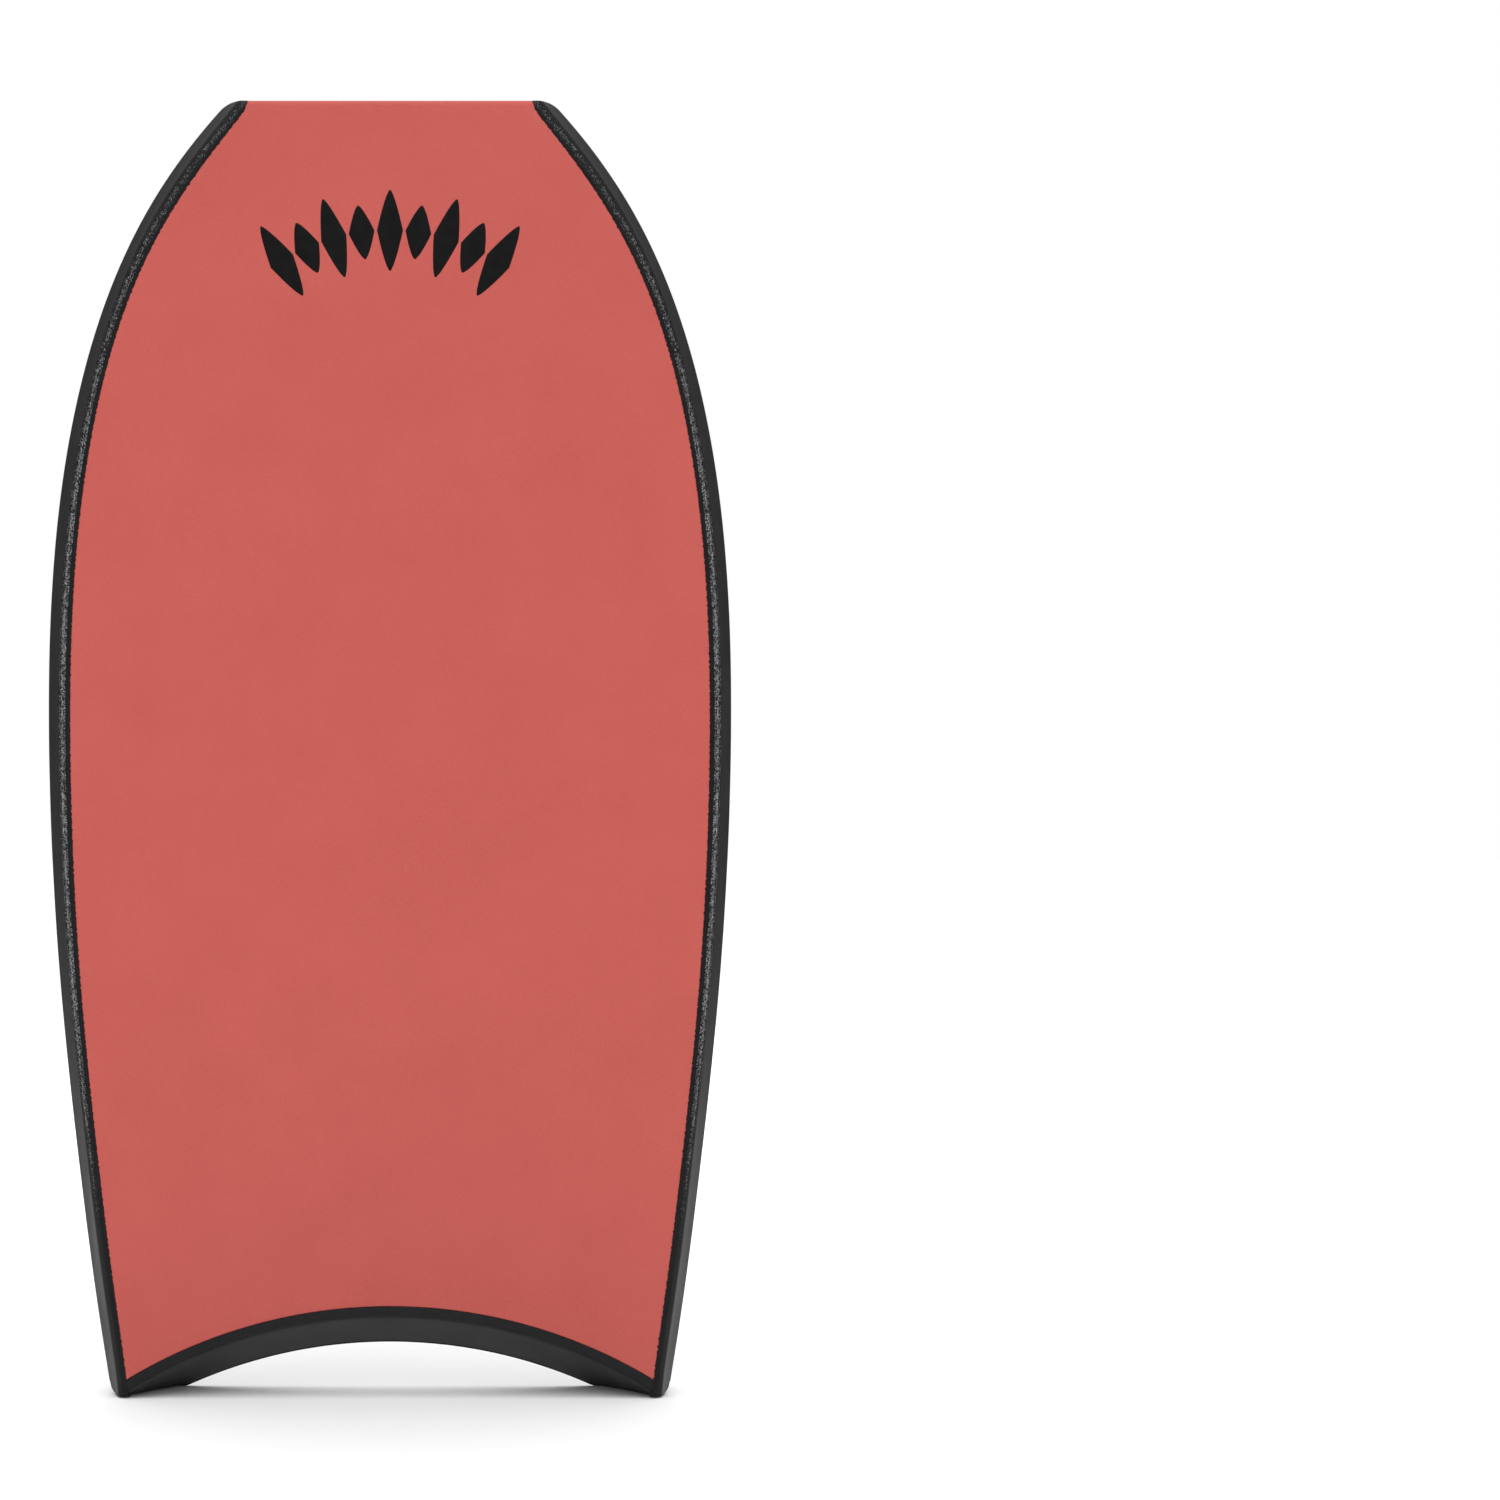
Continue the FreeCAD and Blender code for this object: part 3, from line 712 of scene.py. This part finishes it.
for finish, nodes in (
    (core_foam(), ("foam_core",)),
    (mesh_film(), ("deck_mesh", "bottom_mesh")),
    (stringer_carbon(), ("stringer_tube",)),
    (plug_rubber(), ("stringer_plug_nose", "stringer_plug_tail")),
):
    for node in nodes:
        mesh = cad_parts[node].data
        mesh.materials.clear()
        mesh.materials.append(finish)


def settle(piece, slot, *nodes):
    """Fix a piece to the board and let it stand for its CAD nodes; the slot is not used."""
    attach(piece, "root")
    if nodes:
        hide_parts(*nodes)


# --------------------------------------------------
# Deck skin
# --------------------------------------------------

SKIN_THICKNESS = 3.5 * MM
SKIN_ROLL = 1.1 * MM
SKIN_TRIM_RAG = 1.05 * MM
RAG_PITCH = 2.2 * MM
RAG_FADE = 40  # the higher, the nearer to the edge the wander ends
ROLL_START = LENGTH - NOSE_ROLL
ROLL_END = ROLL_START + NOSE_ROLL * math.pi / 2
FRONT_FLAT = NOSE_FLAT_RUN - NOSE_ROLL
FRONT_SLOPE_LENGTH = (TRIM_START - NOSE_FLAT_END) * math.hypot(1, NOSE_SLOPE)
SKIN_END = ROLL_END + FRONT_FLAT + FRONT_SLOPE_LENGTH


def skin_profile(run, depth):
    """Level and height of the deck skin: up the deck, round the roll and down the front face."""
    turn = np.clip((run - ROLL_START) / NOSE_ROLL, 0, math.pi / 2)
    flat = np.clip(run - ROLL_END, 0, FRONT_FLAT)
    slope = np.maximum(run - ROLL_END - FRONT_FLAT, 0)
    pitch = math.atan(NOSE_SLOPE) * (slope > 0)
    radius = NOSE_ROLL - depth
    up = run < ROLL_START
    level = np.where(up, deck(run) + depth, NOSE_DECK + NOSE_ROLL - radius * np.cos(turn))
    height = np.where(up, run, ROLL_START + radius * np.sin(turn))
    level = level + flat + slope * np.cos(pitch) - depth * np.sin(pitch)
    height = height - slope * np.sin(pitch) + depth * (1 - np.cos(pitch))
    return level, height


TAIL_GUESS = 20 * MM  # the height where the search for a tail edge starts
TAIL_TRIES = 4


def tail_height(q, width, low):
    """Height of a tail edge at a share of the width that itself depends on the height."""
    height = low(q * width(TAIL_GUESS))
    for _ in range(TAIL_TRIES):
        height = low(q * width(height))
    return height


def coral_tail(x):
    """Height of the deck skin's tail edge."""
    return arc_height(x, CRESCENT_RADIUS + TAIL_TRIM, CRESCENT_DECK + TAIL_TRIM)


def rag_line(run, seed):
    """How far the trimmed edge of the skin wanders at each point along it."""
    places = np.stack([seed + 0 * run, 0 * run, run / RAG_PITCH], axis=-1)
    return SKIN_TRIM_RAG * sample(places, noise.noise)


def place_skin(q, s, depth):
    low = tail_height(q, deck_edge, coral_tail)
    run = low + (SKIN_END - low) * s
    level, height = skin_profile(run, depth)
    ragged = np.where(q < 0, rag_line(run[:, :1], 0.0), rag_line(run[:, -1:], 5.0)) * np.abs(q) ** RAG_FADE
    return q * (inner_width(level, height) + ragged), level, height


def skin_relief(places):
    """The slight unevenness of the deck, wide and narrow."""
    return 0.05 * MM * waviness(places, 45 * MM) + 0.03 * MM * waviness(places, 11 * MM)


vertices, faces, rim = slab(
    place_skin, LENGTH, 480 * MM, SKIN_THICKNESS, SKIN_ROLL, rows=1100, columns=40, relief=skin_relief
)
skin = new_piece("deck_skin_sheet", vertices, faces, CORAL, {"rim": rim})
skin.visible_diffuse = False  # its red glow would tint the white floor
settle(skin, "deck_foam", "deck_skin")

# --------------------------------------------------
# Rails and chine strips
# --------------------------------------------------

TAIL_HALF_WIDTH = 231.9 * MM
TAIL_CORNER = 10 * MM
LOWER_HALF_WIDTH = 233.8 * MM
LOWER_LIFT = 11.5 * MM
STRIP_HALF_WIDTH = 221.2 * MM
STRIP_CORNER = 8 * MM
TUCK = 0.5 * MM  # how far a strip's hidden side reaches under its neighbour
STRIP_SINK = 0.25 * MM  # the deck strip lies a little below the deck skin
PEBBLE_PITCH = 1.4 * MM
PEBBLE_HEIGHT = 0.3 * MM
SMOOTH_TAIL = (120 * MM, 330 * MM)  # the pebble grows between these heights
SMOOTH_NOSE = (720 * MM, 1010 * MM)  # and fades between these
GROWTH = (0.25, 0.95, -0.7)  # the pebble's share at the tail, and what each of those spans adds
UNEVEN_PITCH = 55 * MM
UNEVEN_HEIGHT = 0.1 * MM
END_ROLL = 1.2 * MM
TOE_LIFT = 3.6 * MM  # the rail ends are rounded up towards the deck by this much
TOE_DEPTH = 14 * MM


def foot(half_width, radius, lift=0.0):
    """The lowest height of a rail end with a round outer corner and toe, from its x and level."""
    def height(x, level):
        reach = np.clip(x - (half_width - radius), 0, radius)
        toe = np.clip(1 - (level - DECK_LEVEL) / TOE_DEPTH, 0, 1)
        return lift + radius - np.sqrt(radius**2 - reach**2) + TOE_LIFT * toe**2
    return height


def on_line(first, second, depth_of):
    """x where the line between two corners reaches a level."""
    def place(height):
        (x0, y0), (x1, y1) = first(height), second(height)
        level = depth_of(height)
        return x0 + (x1 - x0) * (level - y0) / (y1 - y0), level
    return place


def at_deck_edge(h):
    return deck_edge(h) - TUCK, deck(h) + STRIP_SINK


def at_deck_corner(h):
    return deck_corner(h), deck(h) + STRIP_SINK


def at_chine(h):
    return chine_corner(h), deck(h) + CHINE_DEPTH


def at_widest(h):
    return widest(h), widest_level(h)


def at_seam(h):
    return seam_corner(h), slick(h) - SEAM_DEPTH


def at_slick_corner(h):
    return slick_corner(h), slick(h)


def at_slick_edge(h):
    return slick_edge(h) - TUCK, slick(h)


def inside(level_at):
    """The hidden corner of a strip at a level, just inside the rails' inner face."""
    def place(h):
        level = level_at(h)
        return inner_width(level, h) - TUCK, level
    return place


def strip_level(h):
    return deck(h) + DECK_STRIP_DEPTH


def rail_seam_level(h):
    return widest_level(h) + RAIL_SEAM_DROP


def slick_strip_level(h):
    return slick(h) - SLICK_STRIP_DEPTH


strip_foot = on_line(at_chine, at_widest, strip_level)
rail_seam = on_line(at_widest, at_seam, rail_seam_level)
slick_strip_foot = on_line(at_seam, at_slick_corner, slick_strip_level)

# (corner, roll, steps round the corner, spans to the next corner, crown of that edge)
SECTIONS = {
    "deck_chine": [
        (at_deck_edge, 0.9 * MM, 3, 6, 0.25 * MM),
        (at_deck_corner, 1.0 * MM, 4, 6, 0.0),
        (at_chine, 1.5 * MM, 6, 2, 0.0),
        (strip_foot, 0.35 * MM, 2, 3, 0.0),
        (inside(strip_level), 0.0, 0, 2, 0.0),
    ],
    "rail_upper": [
        (strip_foot, 0.5 * MM, 3, 24, 0.35 * MM),
        (at_widest, 0.7 * MM, 4, 1, 0.0),
        (rail_seam, 0.25 * MM, 1, 3, 0.0),
        (inside(rail_seam_level), 0.0, 0, 3, 0.0),
        (inside(strip_level), 0.0, 0, 2, 0.0),
    ],
    "rail_lower": [
        (rail_seam, 0.5 * MM, 3, 24, 0.3 * MM),
        (at_seam, 1.5 * MM, 8, 1, 0.0),
        (slick_strip_foot, 0.2 * MM, 1, 3, 0.0),
        (inside(slick_strip_level), 0.0, 0, 3, 0.0),
        (inside(rail_seam_level), 0.0, 0, 2, 0.0),
    ],
    "slick_chine": [
        (slick_strip_foot, 0.6 * MM, 3, 4, 0.1 * MM),
        (at_slick_corner, 1.3 * MM, 4, 6, 0.15 * MM),
        (at_slick_edge, 0.5 * MM, 2, 3, 0.0),
        (inside(slick_strip_level), 0.0, 0, 2, 0.0),
    ],
}
# how much of the pebble each corner of a section shows, and the start and end of the edge after it
GRAIN = {
    "deck_chine": ((0.05, 0.05, 0.05), (0.8, 1.1, 1.1), (0.55, 0, 0), (0, 0, 0), (0, 0, 0)),
    "rail_lower": ((0, 0, 0.9), (1.0, 0.3, 0.3), (0, 0, 0), (0, 0, 0), (0, 0, 0)),
    "slick_chine": ((0.5, 0.35, 0.35), (0.4, 0.2, 0.2), (0.1, 0, 0), (0, 0, 0)),
}
FEET = {
    "deck_chine": foot(TAIL_HALF_WIDTH, TAIL_CORNER),
    "rail_upper": foot(TAIL_HALF_WIDTH, TAIL_CORNER),
    "rail_lower": foot(LOWER_HALF_WIDTH, TAIL_CORNER, LOWER_LIFT),
    "slick_chine": foot(STRIP_HALF_WIDTH, STRIP_CORNER),
}


def share_between(height, span):
    """How far a height has come through a span, from 0 to 1."""
    return np.clip((height - span[0]) / (span[1] - span[0]), 0, 1)


ON_SURFACE = (at_deck_edge, at_deck_corner, at_chine, at_widest, at_seam, at_slick_corner, at_slick_edge)
LATE = 8  # the pebble of an edge changes mostly near the edge's far end


def grain_relief(kind):
    """Pebble on the embossed corners, and a soft unevenness from every corner that isn't a seam."""
    def relief(rings, plan):
        amount = np.zeros(len(plan))
        for index, (number, share, on_edge) in enumerate(plan if kind in GRAIN else []):
            corner, first, last = GRAIN[kind][number]
            amount[index] = first + (last - first) * share**LATE if on_edge else corner
        height = rings[..., 2]
        growth = GROWTH[0] + GROWTH[1] * share_between(height, SMOOTH_TAIL)
        growth += GROWTH[2] * share_between(height, SMOOTH_NOSE)
        rough = np.zeros(rings.shape[:2])
        used = amount > 0
        rough[:, used] = pebble(rings[:, used], PEBBLE_PITCH) * amount[used] * growth[:, used]
        uneven = waviness(rings, UNEVEN_PITCH) * UNEVEN_HEIGHT
        visible = np.array([SECTIONS[kind][number][0] in ON_SURFACE for number, _, _ in plan])
        return rough, rough * PEBBLE_HEIGHT + uneven * visible
    return relief


# distance between a strip's sections, its material and its finish slot
STRIPS = {
    "deck_chine": (0.55 * MM, DECK_CHINE, "chine_foam"),
    "rail_upper": (4 * MM, UPPER_RAIL, "rail_foam"),
    "rail_lower": (0.8 * MM, LOWER_RAIL, "rail_foam"),
    "slick_chine": (0.9 * MM, SLICK_CHINE, "chine_foam"),
}

for kind, (pitch, material, slot) in STRIPS.items():
    for side, sign in (("right", 1), ("left", -1)):
        relief = grain_relief(kind)
        vertices, faces, crest = strip(SECTIONS[kind], FEET[kind], sign, pitch, END_ROLL, relief)
        piece = new_piece(f"{kind}_{side}_strip", vertices, faces, material, {"crest": crest})
        settle(piece, slot, f"{kind}_{side}")

# --------------------------------------------------
# Slick, tail and nose trims
# --------------------------------------------------

SLICK_THICKNESS = 1.5 * MM
TIP_CREASE = 1.5 * MM
TAIL_SKIN_CREASE = 4.5 * MM
TAIL_SKIN_HEIGHT = 5 * MM  # where the width of the tail skin is read


def slick_low(x):
    """Height of the slick's tail edge."""
    return soft_max(SLICK_TRIM + 0 * x, crescent(x, SLICK_LEVEL, SLICK_TRIM), TIP_CREASE)


def trim_low(x):
    """Height of the lower edge of the trim below the slick."""
    return soft_max(0 * x, crescent(x, SLICK_LEVEL), TIP_CREASE)


def place_slick(q, s, depth):
    low = tail_height(q, slick_edge, slick_low)
    height = low + (TRIM_LEVEL - low) * s
    return q * slick_edge(height), slick(height) - depth, height


def slick_relief(places):
    """The slick's faint ripples, drawn out along the board."""
    return 0.12 * MM * waviness(places * np.array([1, 1, 0.4]), 70 * MM)


vertices, faces, rim = slab(
    place_slick, LENGTH, 470 * MM, SLICK_THICKNESS, 0.5 * MM, rows=240, columns=90, relief=slick_relief
)
sheet = new_piece("slick_sheet_panel", vertices, faces, SLICK, {"rim": rim})
settle(sheet, "slick_sheet", "slick")


def place_slick_trim(q, s, depth):
    low = tail_height(q, slick_edge, trim_low)
    high = tail_height(q, slick_edge, slick_low)
    height = low + (high - low) * s
    return q * slick_edge(height), SLICK_LEVEL - depth, height


def place_deck_trim(q, s, depth):
    low = tail_height(q, deck_edge, lambda x: crescent(x, DECK_LEVEL))
    high = tail_height(q, deck_edge, coral_tail)
    height = low + (high - low) * s
    return q * deck_edge(height), DECK_LEVEL + STRIP_SINK + depth, height


def place_tail_skin(q, s, depth):
    level = DECK_LEVEL + SKIN_THICKNESS + s * (SLICK_LEVEL - DECK_LEVEL - SKIN_THICKNESS - SLICK_THICKNESS)
    x = q * inner_width(level, TAIL_SKIN_HEIGHT)
    height = soft_max(0 * x, crescent(x, level), TAIL_SKIN_CREASE)
    return x, level, np.maximum(height + depth, 0)


def band_relief(places):
    return 0.1 * MM * waviness(places, 30 * MM)


CHEEK_HEIGHT = LOWER_LIFT + 1.5 * MM
CHEEK_WIDTH = 50 * MM
CHEEK_PROUD = 0.3 * MM


def cheek(side):
    """A thin plate that closes the core's side at a foot, below the lower rail's end."""
    start, end = DECK_LEVEL + 2 * SKIN_THICKNESS, SLICK_LEVEL - SLICK_THICKNESS

    def place(q, s, depth):
        height = s * CHEEK_HEIGHT
        level = (start + end) / 2 + q * (end - start) / 2
        return side * (inner_width(level, height) + CHEEK_PROUD - depth), level, height
    return slab(place, CHEEK_HEIGHT, CHEEK_WIDTH, 2 * CHEEK_PROUD, 0.1 * MM, rows=6, columns=24)[:2]


TAIL_BANDS = {
    "tail_deck_trim": (place_deck_trim, TAIL_TRIM, SKIN_THICKNESS, 1.2 * MM, SLICK_CHINE, "chine_foam"),
    "tail_slick_trim": (place_slick_trim, SLICK_TRIM, SLICK_THICKNESS, 0.7 * MM, SLICK_CHINE, "chine_foam"),
    "tail_skin": (place_tail_skin, SLICK_LEVEL - DECK_LEVEL, 4 * MM, 0.5 * MM, TAIL, "rail_foam"),
}
for node, (place, length, thickness, rounding, material, slot) in TAIL_BANDS.items():
    vertices, faces, rim = slab(
        place, length, 430 * MM, thickness, rounding, rows=14, columns=300, relief=band_relief
    )
    if node == "tail_skin":
        vertices, faces = join_parts([(vertices, faces), cheek(1), cheek(-1)])
        rim = np.zeros(len(vertices))
    band = new_piece(f"{node}_band", vertices, faces, material, {"rim": rim, "crest": 0 * rim})
    settle(band, slot, node)

TRIM_PATH_POINTS = [
    (TRIM_START, front(TRIM_START)),
    (NOSE_BEVEL, front(NOSE_BEVEL)),
    (NOSE_SLICK, LENGTH - NOSE_SLICK_DROP),
    (slick(TRIM_LEVEL), TRIM_LEVEL),
]
TRIM_ROUNDING = 0.06  # share of the path over which its corners are rolled


def trim_path(s):
    """Level and height along the nose trim's visible face, with rolled corners."""
    points = np.array(TRIM_PATH_POINTS)
    steps = np.linalg.norm(np.diff(points, axis=0), axis=1)
    reach = np.concatenate([[0], np.cumsum(steps)]) / steps.sum()
    blur = [np.clip(s + shift, 0, 1) for shift in np.linspace(-TRIM_ROUNDING, TRIM_ROUNDING, 5)]
    levels = np.mean([np.interp(part, reach, points[:, 0]) for part in blur], axis=0)
    heights = np.mean([np.interp(part, reach, points[:, 1]) for part in blur], axis=0)
    return levels, heights


def place_nose_trim(q, s, depth):
    level, height = trim_path(s)
    ahead, above = trim_path(np.clip(s + 0.02, 0, 1))
    behind, below = trim_path(np.clip(s - 0.02, 0, 1))
    run = np.hypot(ahead - behind, above - below)
    level = level + depth * (above - below) / run
    height = height - depth * (ahead - behind) / run
    return q * inner_width(level, height), level, height


TRIM_LENGTH = sum(math.dist(a, b) for a, b in zip(TRIM_PATH_POINTS, TRIM_PATH_POINTS[1:]))
vertices, faces, rim = slab(
    place_nose_trim, TRIM_LENGTH, 240 * MM, 2 * MM, 0.5 * MM, rows=16, columns=160, relief=band_relief
)
nose = new_piece("nose_trim_strip", vertices, faces, DECK_CHINE, {"rim": rim, "crest": 0 * rim})
settle(nose, "chine_foam", "nose_trim")

# --------------------------------------------------
# Prints: plain motifs of the builder's own, as thin layers of ink
# --------------------------------------------------

INK_PROUD = 0.12 * MM
INK_THICKNESS = 0.5 * MM


def ink_shape(outline, on_slick, rows, columns, length, width):
    """One inked shape: outline(across, along) gives x and height on the board's face."""
    def place(q, s, depth):
        x, height = outline(q, s)
        if on_slick:
            return x, slick(height) + INK_PROUD - depth, height
        return x, deck(height) - INK_PROUD + depth, height
    vertices, faces, _ = slab(place, length, width, INK_THICKNESS, 0.06 * MM, rows, columns)
    return vertices, faces


BOW = 0.7  # below 1 bows a lozenge's sides outward
POINT = 0.02  # share of its width that a lozenge keeps at its points, before the bow


def lozenge(centre_x, centre_z, half_width, half_height, lean):
    """A leaning lozenge with slightly bowed sides."""
    def outline(q, s):
        v = 2 * s - 1
        reach = half_width * (1 + POINT - np.abs(v)) ** BOW
        x, z = q * reach, v * half_height
        turn = math.cos(lean), math.sin(lean)
        return centre_x + x * turn[0] + z * turn[1], centre_z - x * turn[1] + z * turn[0]
    return outline


FAN_RADIUS = 170 * MM
FAN_HEIGHT = 790 * MM
FAN_SPREAD = math.radians(31.5)
FAN_COUNT = 9
FAN_HALF_WIDTH = 10.5 * MM
FAN_HALF_HEIGHTS = (33 * MM, 22 * MM)  # tall and short ones take turns


def deck_print():
    """A fan of black lozenges on a shallow arch."""
    shapes = []
    for number in range(FAN_COUNT):
        angle = FAN_SPREAD * (2 * number / (FAN_COUNT - 1) - 1)
        x, z = FAN_RADIUS * math.sin(angle), FAN_HEIGHT + FAN_RADIUS * math.cos(angle)
        tall = FAN_HALF_HEIGHTS[number % 2]
        shape = lozenge(x, z, FAN_HALF_WIDTH, tall, angle)
        shapes.append(ink_shape(shape, False, 16, 6, 2 * tall, 2 * FAN_HALF_WIDTH))
    return join_parts(shapes)


WAVE_RUN = 4.2  # a wave's run, as a multiple of its swing, over one radian
ROUND_END = 8  # the higher, the shorter the round ends of a band
DISC_FLATNESS = 0.92  # below 1 keeps the outer bands of a disc wide
BAND_SHARE = 0.56  # share of a disc that is inked


def wave_band(centre_z, half_width, thickness, swing):
    """A level band with a wavy run and round ends."""
    def outline(q, s):
        x = q * half_width
        wave = swing * np.sin(x / (swing * WAVE_RUN))
        taper = np.sqrt(np.clip(1 - np.abs(q) ** ROUND_END, 0.01, 1))
        return x, centre_z + wave + (s - 0.5) * thickness * taper
    return outline


def wave_disc(centre_z, radius, bands, swing):
    """A disc made of wavy bands, on the slick."""
    pitch = 2 * radius / bands
    thickness = BAND_SHARE * pitch
    shapes = []
    for number in range(bands):
        offset = (number - (bands - 1) / 2) * pitch
        half_width = math.sqrt(radius**2 - (DISC_FLATNESS * offset) ** 2)
        shape = wave_band(centre_z + offset, half_width, thickness, swing)
        shapes.append(ink_shape(shape, True, 6, 90, thickness, 2 * half_width))
    return join_parts(shapes)


PRINTS = {
    "deck_print": (
        deck_print(),
        ink("deck_print", (0.0045, 0.0045, 0.005), (0.007, 0.007, 0.0075), (0.030, 0.012, 0.012)),
    ),
    "slick_print": (
        wave_disc(942 * MM, 84 * MM, bands=5, swing=6 * MM),
        ink("slick_print", (0.500, 0.385, 0.325), (0.540, 0.415, 0.350), (0.38, 0.29, 0.25)),
    ),
    "tail_print": (
        wave_disc(95 * MM, 38 * MM, bands=4, swing=3.5 * MM),
        ink("tail_print", (0.360, 0.235, 0.205), (0.395, 0.260, 0.228), (0.24, 0.15, 0.13)),
    ),
}
for name, ((vertices, faces), material) in PRINTS.items():
    piece = new_piece(f"{name}_ink", vertices, faces, material)
    settle(piece, name)

# --------------------------------------------------
# Floor, light and camera
# --------------------------------------------------

NEAR_FLOOR = (2.4, 0.84)  # half lengths along x and y of the floor that the board's gloss shows
FAR_FLOOR = (12.0, 12.0)


def floor_corners(half_lengths):
    """The floor corners of a rectangle round the board."""
    x, y = half_lengths
    return [(-x, -y, 0), (x, -y, 0), (x, y, 0), (-x, y, 0)]


def make_floor():
    """A plain white floor that fades into the background: a rectangle, and a wide border round it."""
    f = Finish("floor_white")
    base = f.mix(f.noise(3), (0.92, 0.92, 0.92), (0.94, 0.94, 0.94))
    white = f.finish(Base_Color=base, Roughness=0.9, Specular_IOR_Level=0.0)
    border = [(n, (n + 1) % 4, 4 + (n + 1) % 4, 4 + n) for n in range(4)]
    parts = {
        "floor_near": (floor_corners(NEAR_FLOOR), [(0, 1, 2, 3)]),
        "floor_far": (floor_corners(FAR_FLOOR) + floor_corners(NEAR_FLOOR), border),
    }
    for name, (vertices, faces) in parts.items():
        mesh = bpy.data.meshes.new(name)
        mesh.from_pydata(vertices, [], faces)
        mesh.materials.append(white)
        floor = bpy.data.objects.new(name, mesh)
        floor.visible_glossy = name == "floor_near"
        bpy.context.scene.collection.objects.link(floor)


DOME = (0.2, 0.85, 0.10, 0.62)  # low and high place in the sky, then how bright it is at each


def make_world():
    """White where it is seen behind the board, and a soft dome that is brighter overhead as light."""
    world = bpy.data.worlds.new("studio")
    bpy.context.scene.world = world
    world.use_nodes = True
    nodes, links = world.node_tree.nodes, world.node_tree.links
    background = nodes["Background"]
    direction = nodes.new("ShaderNodeTexCoord")
    parts = nodes.new("ShaderNodeSeparateXYZ")
    links.new(direction.outputs["Generated"], parts.inputs[0])
    dome = nodes.new("ShaderNodeMapRange")
    links.new(parts.outputs["Z"], dome.inputs["Value"])
    for socket, number in zip(RANGE_SOCKETS, DOME):
        dome.inputs[socket].default_value = number
    path = nodes.new("ShaderNodeLightPath")
    strength = nodes.new("ShaderNodeMix")
    strength.data_type = "FLOAT"  # its numbers are inputs 2 and 3
    links.new(path.outputs["Is Camera Ray"], strength.inputs["Factor"])
    links.new(dome.outputs["Result"], strength.inputs[2])
    strength.inputs[3].default_value = 1.0
    background.inputs["Color"].default_value = (1, 1, 1, 1)
    links.new(strength.outputs[0], background.inputs["Strength"])


OVERHEAD_STRENGTH = 2.35
OVERHEAD_ANGLE = math.radians(75)
AIM = Vector((0, 0, 0.35))  # where the softboxes point
# place, width and height, power, and whether the board's gloss shows it
SOFTBOXES = {
    "top": ((0, -2.4, 2.6), (3.0, 1.2), 18, True),
    "key": ((-1.6, -2.6, 0.8), (1.8, 1.4), 10, False),
    "fill": ((1.6, -2.6, 0.8), (1.8, 1.4), 7, False),
    "back_top": ((0, 2.4, 2.6), (3.0, 1.2), 18, True),
    "back_key": ((1.6, 2.6, 0.8), (1.8, 1.4), 10, False),
    "back_fill": ((-1.6, 2.6, 0.8), (1.8, 1.4), 7, False),
}


def add_lamp(name, kind, place, aim, shows_in_gloss=True):
    """A light aimed at a point, which the camera doesn't see."""
    light = bpy.data.lights.new(name, kind)
    lamp = bpy.data.objects.new(name, light)
    lamp.location = place
    lamp.rotation_euler = (aim - Vector(place)).to_track_quat("-Z", "Y").to_euler()
    lamp.visible_camera = False
    lamp.visible_glossy = shows_in_gloss
    bpy.context.scene.collection.objects.link(lamp)
    return light


def make_lights():
    """A wide overhead glow that whitens the floor, and three softboxes for each side of the board."""
    overhead = add_lamp("overhead", "SUN", (0, 0, 4), Vector((0, 0, 0)))
    overhead.energy = OVERHEAD_STRENGTH
    overhead.angle = OVERHEAD_ANGLE
    for name, (place, (width, height), power, shows) in SOFTBOXES.items():
        softbox = add_lamp(name, "AREA", place, AIM, shows)
        softbox.shape = "RECTANGLE"
        softbox.size, softbox.size_y = width, height
        softbox.energy = power


CAMERA_DISTANCE = 2.5
SENSOR_WIDTH = 36  # millimetres, as the lens
LENS = 73
SHIFT = 0.24


def make_camera():
    """Level with the board's middle and square to its deck, framed with free space on the right."""
    data = bpy.data.cameras.new("camera")
    data.sensor_width = SENSOR_WIDTH
    data.lens = LENS
    data.shift_x = SHIFT
    camera = bpy.data.objects.new("camera", data)
    camera.location = (0, DECK_LEVEL - CAMERA_DISTANCE, LENGTH / 2)
    camera.rotation_euler = (math.pi / 2, 0, 0)
    bpy.context.scene.collection.objects.link(camera)
    bpy.context.scene.camera = camera


make_floor()
make_world()
make_lights()
make_camera()
bpy.context.scene.view_settings.view_transform = "Standard"
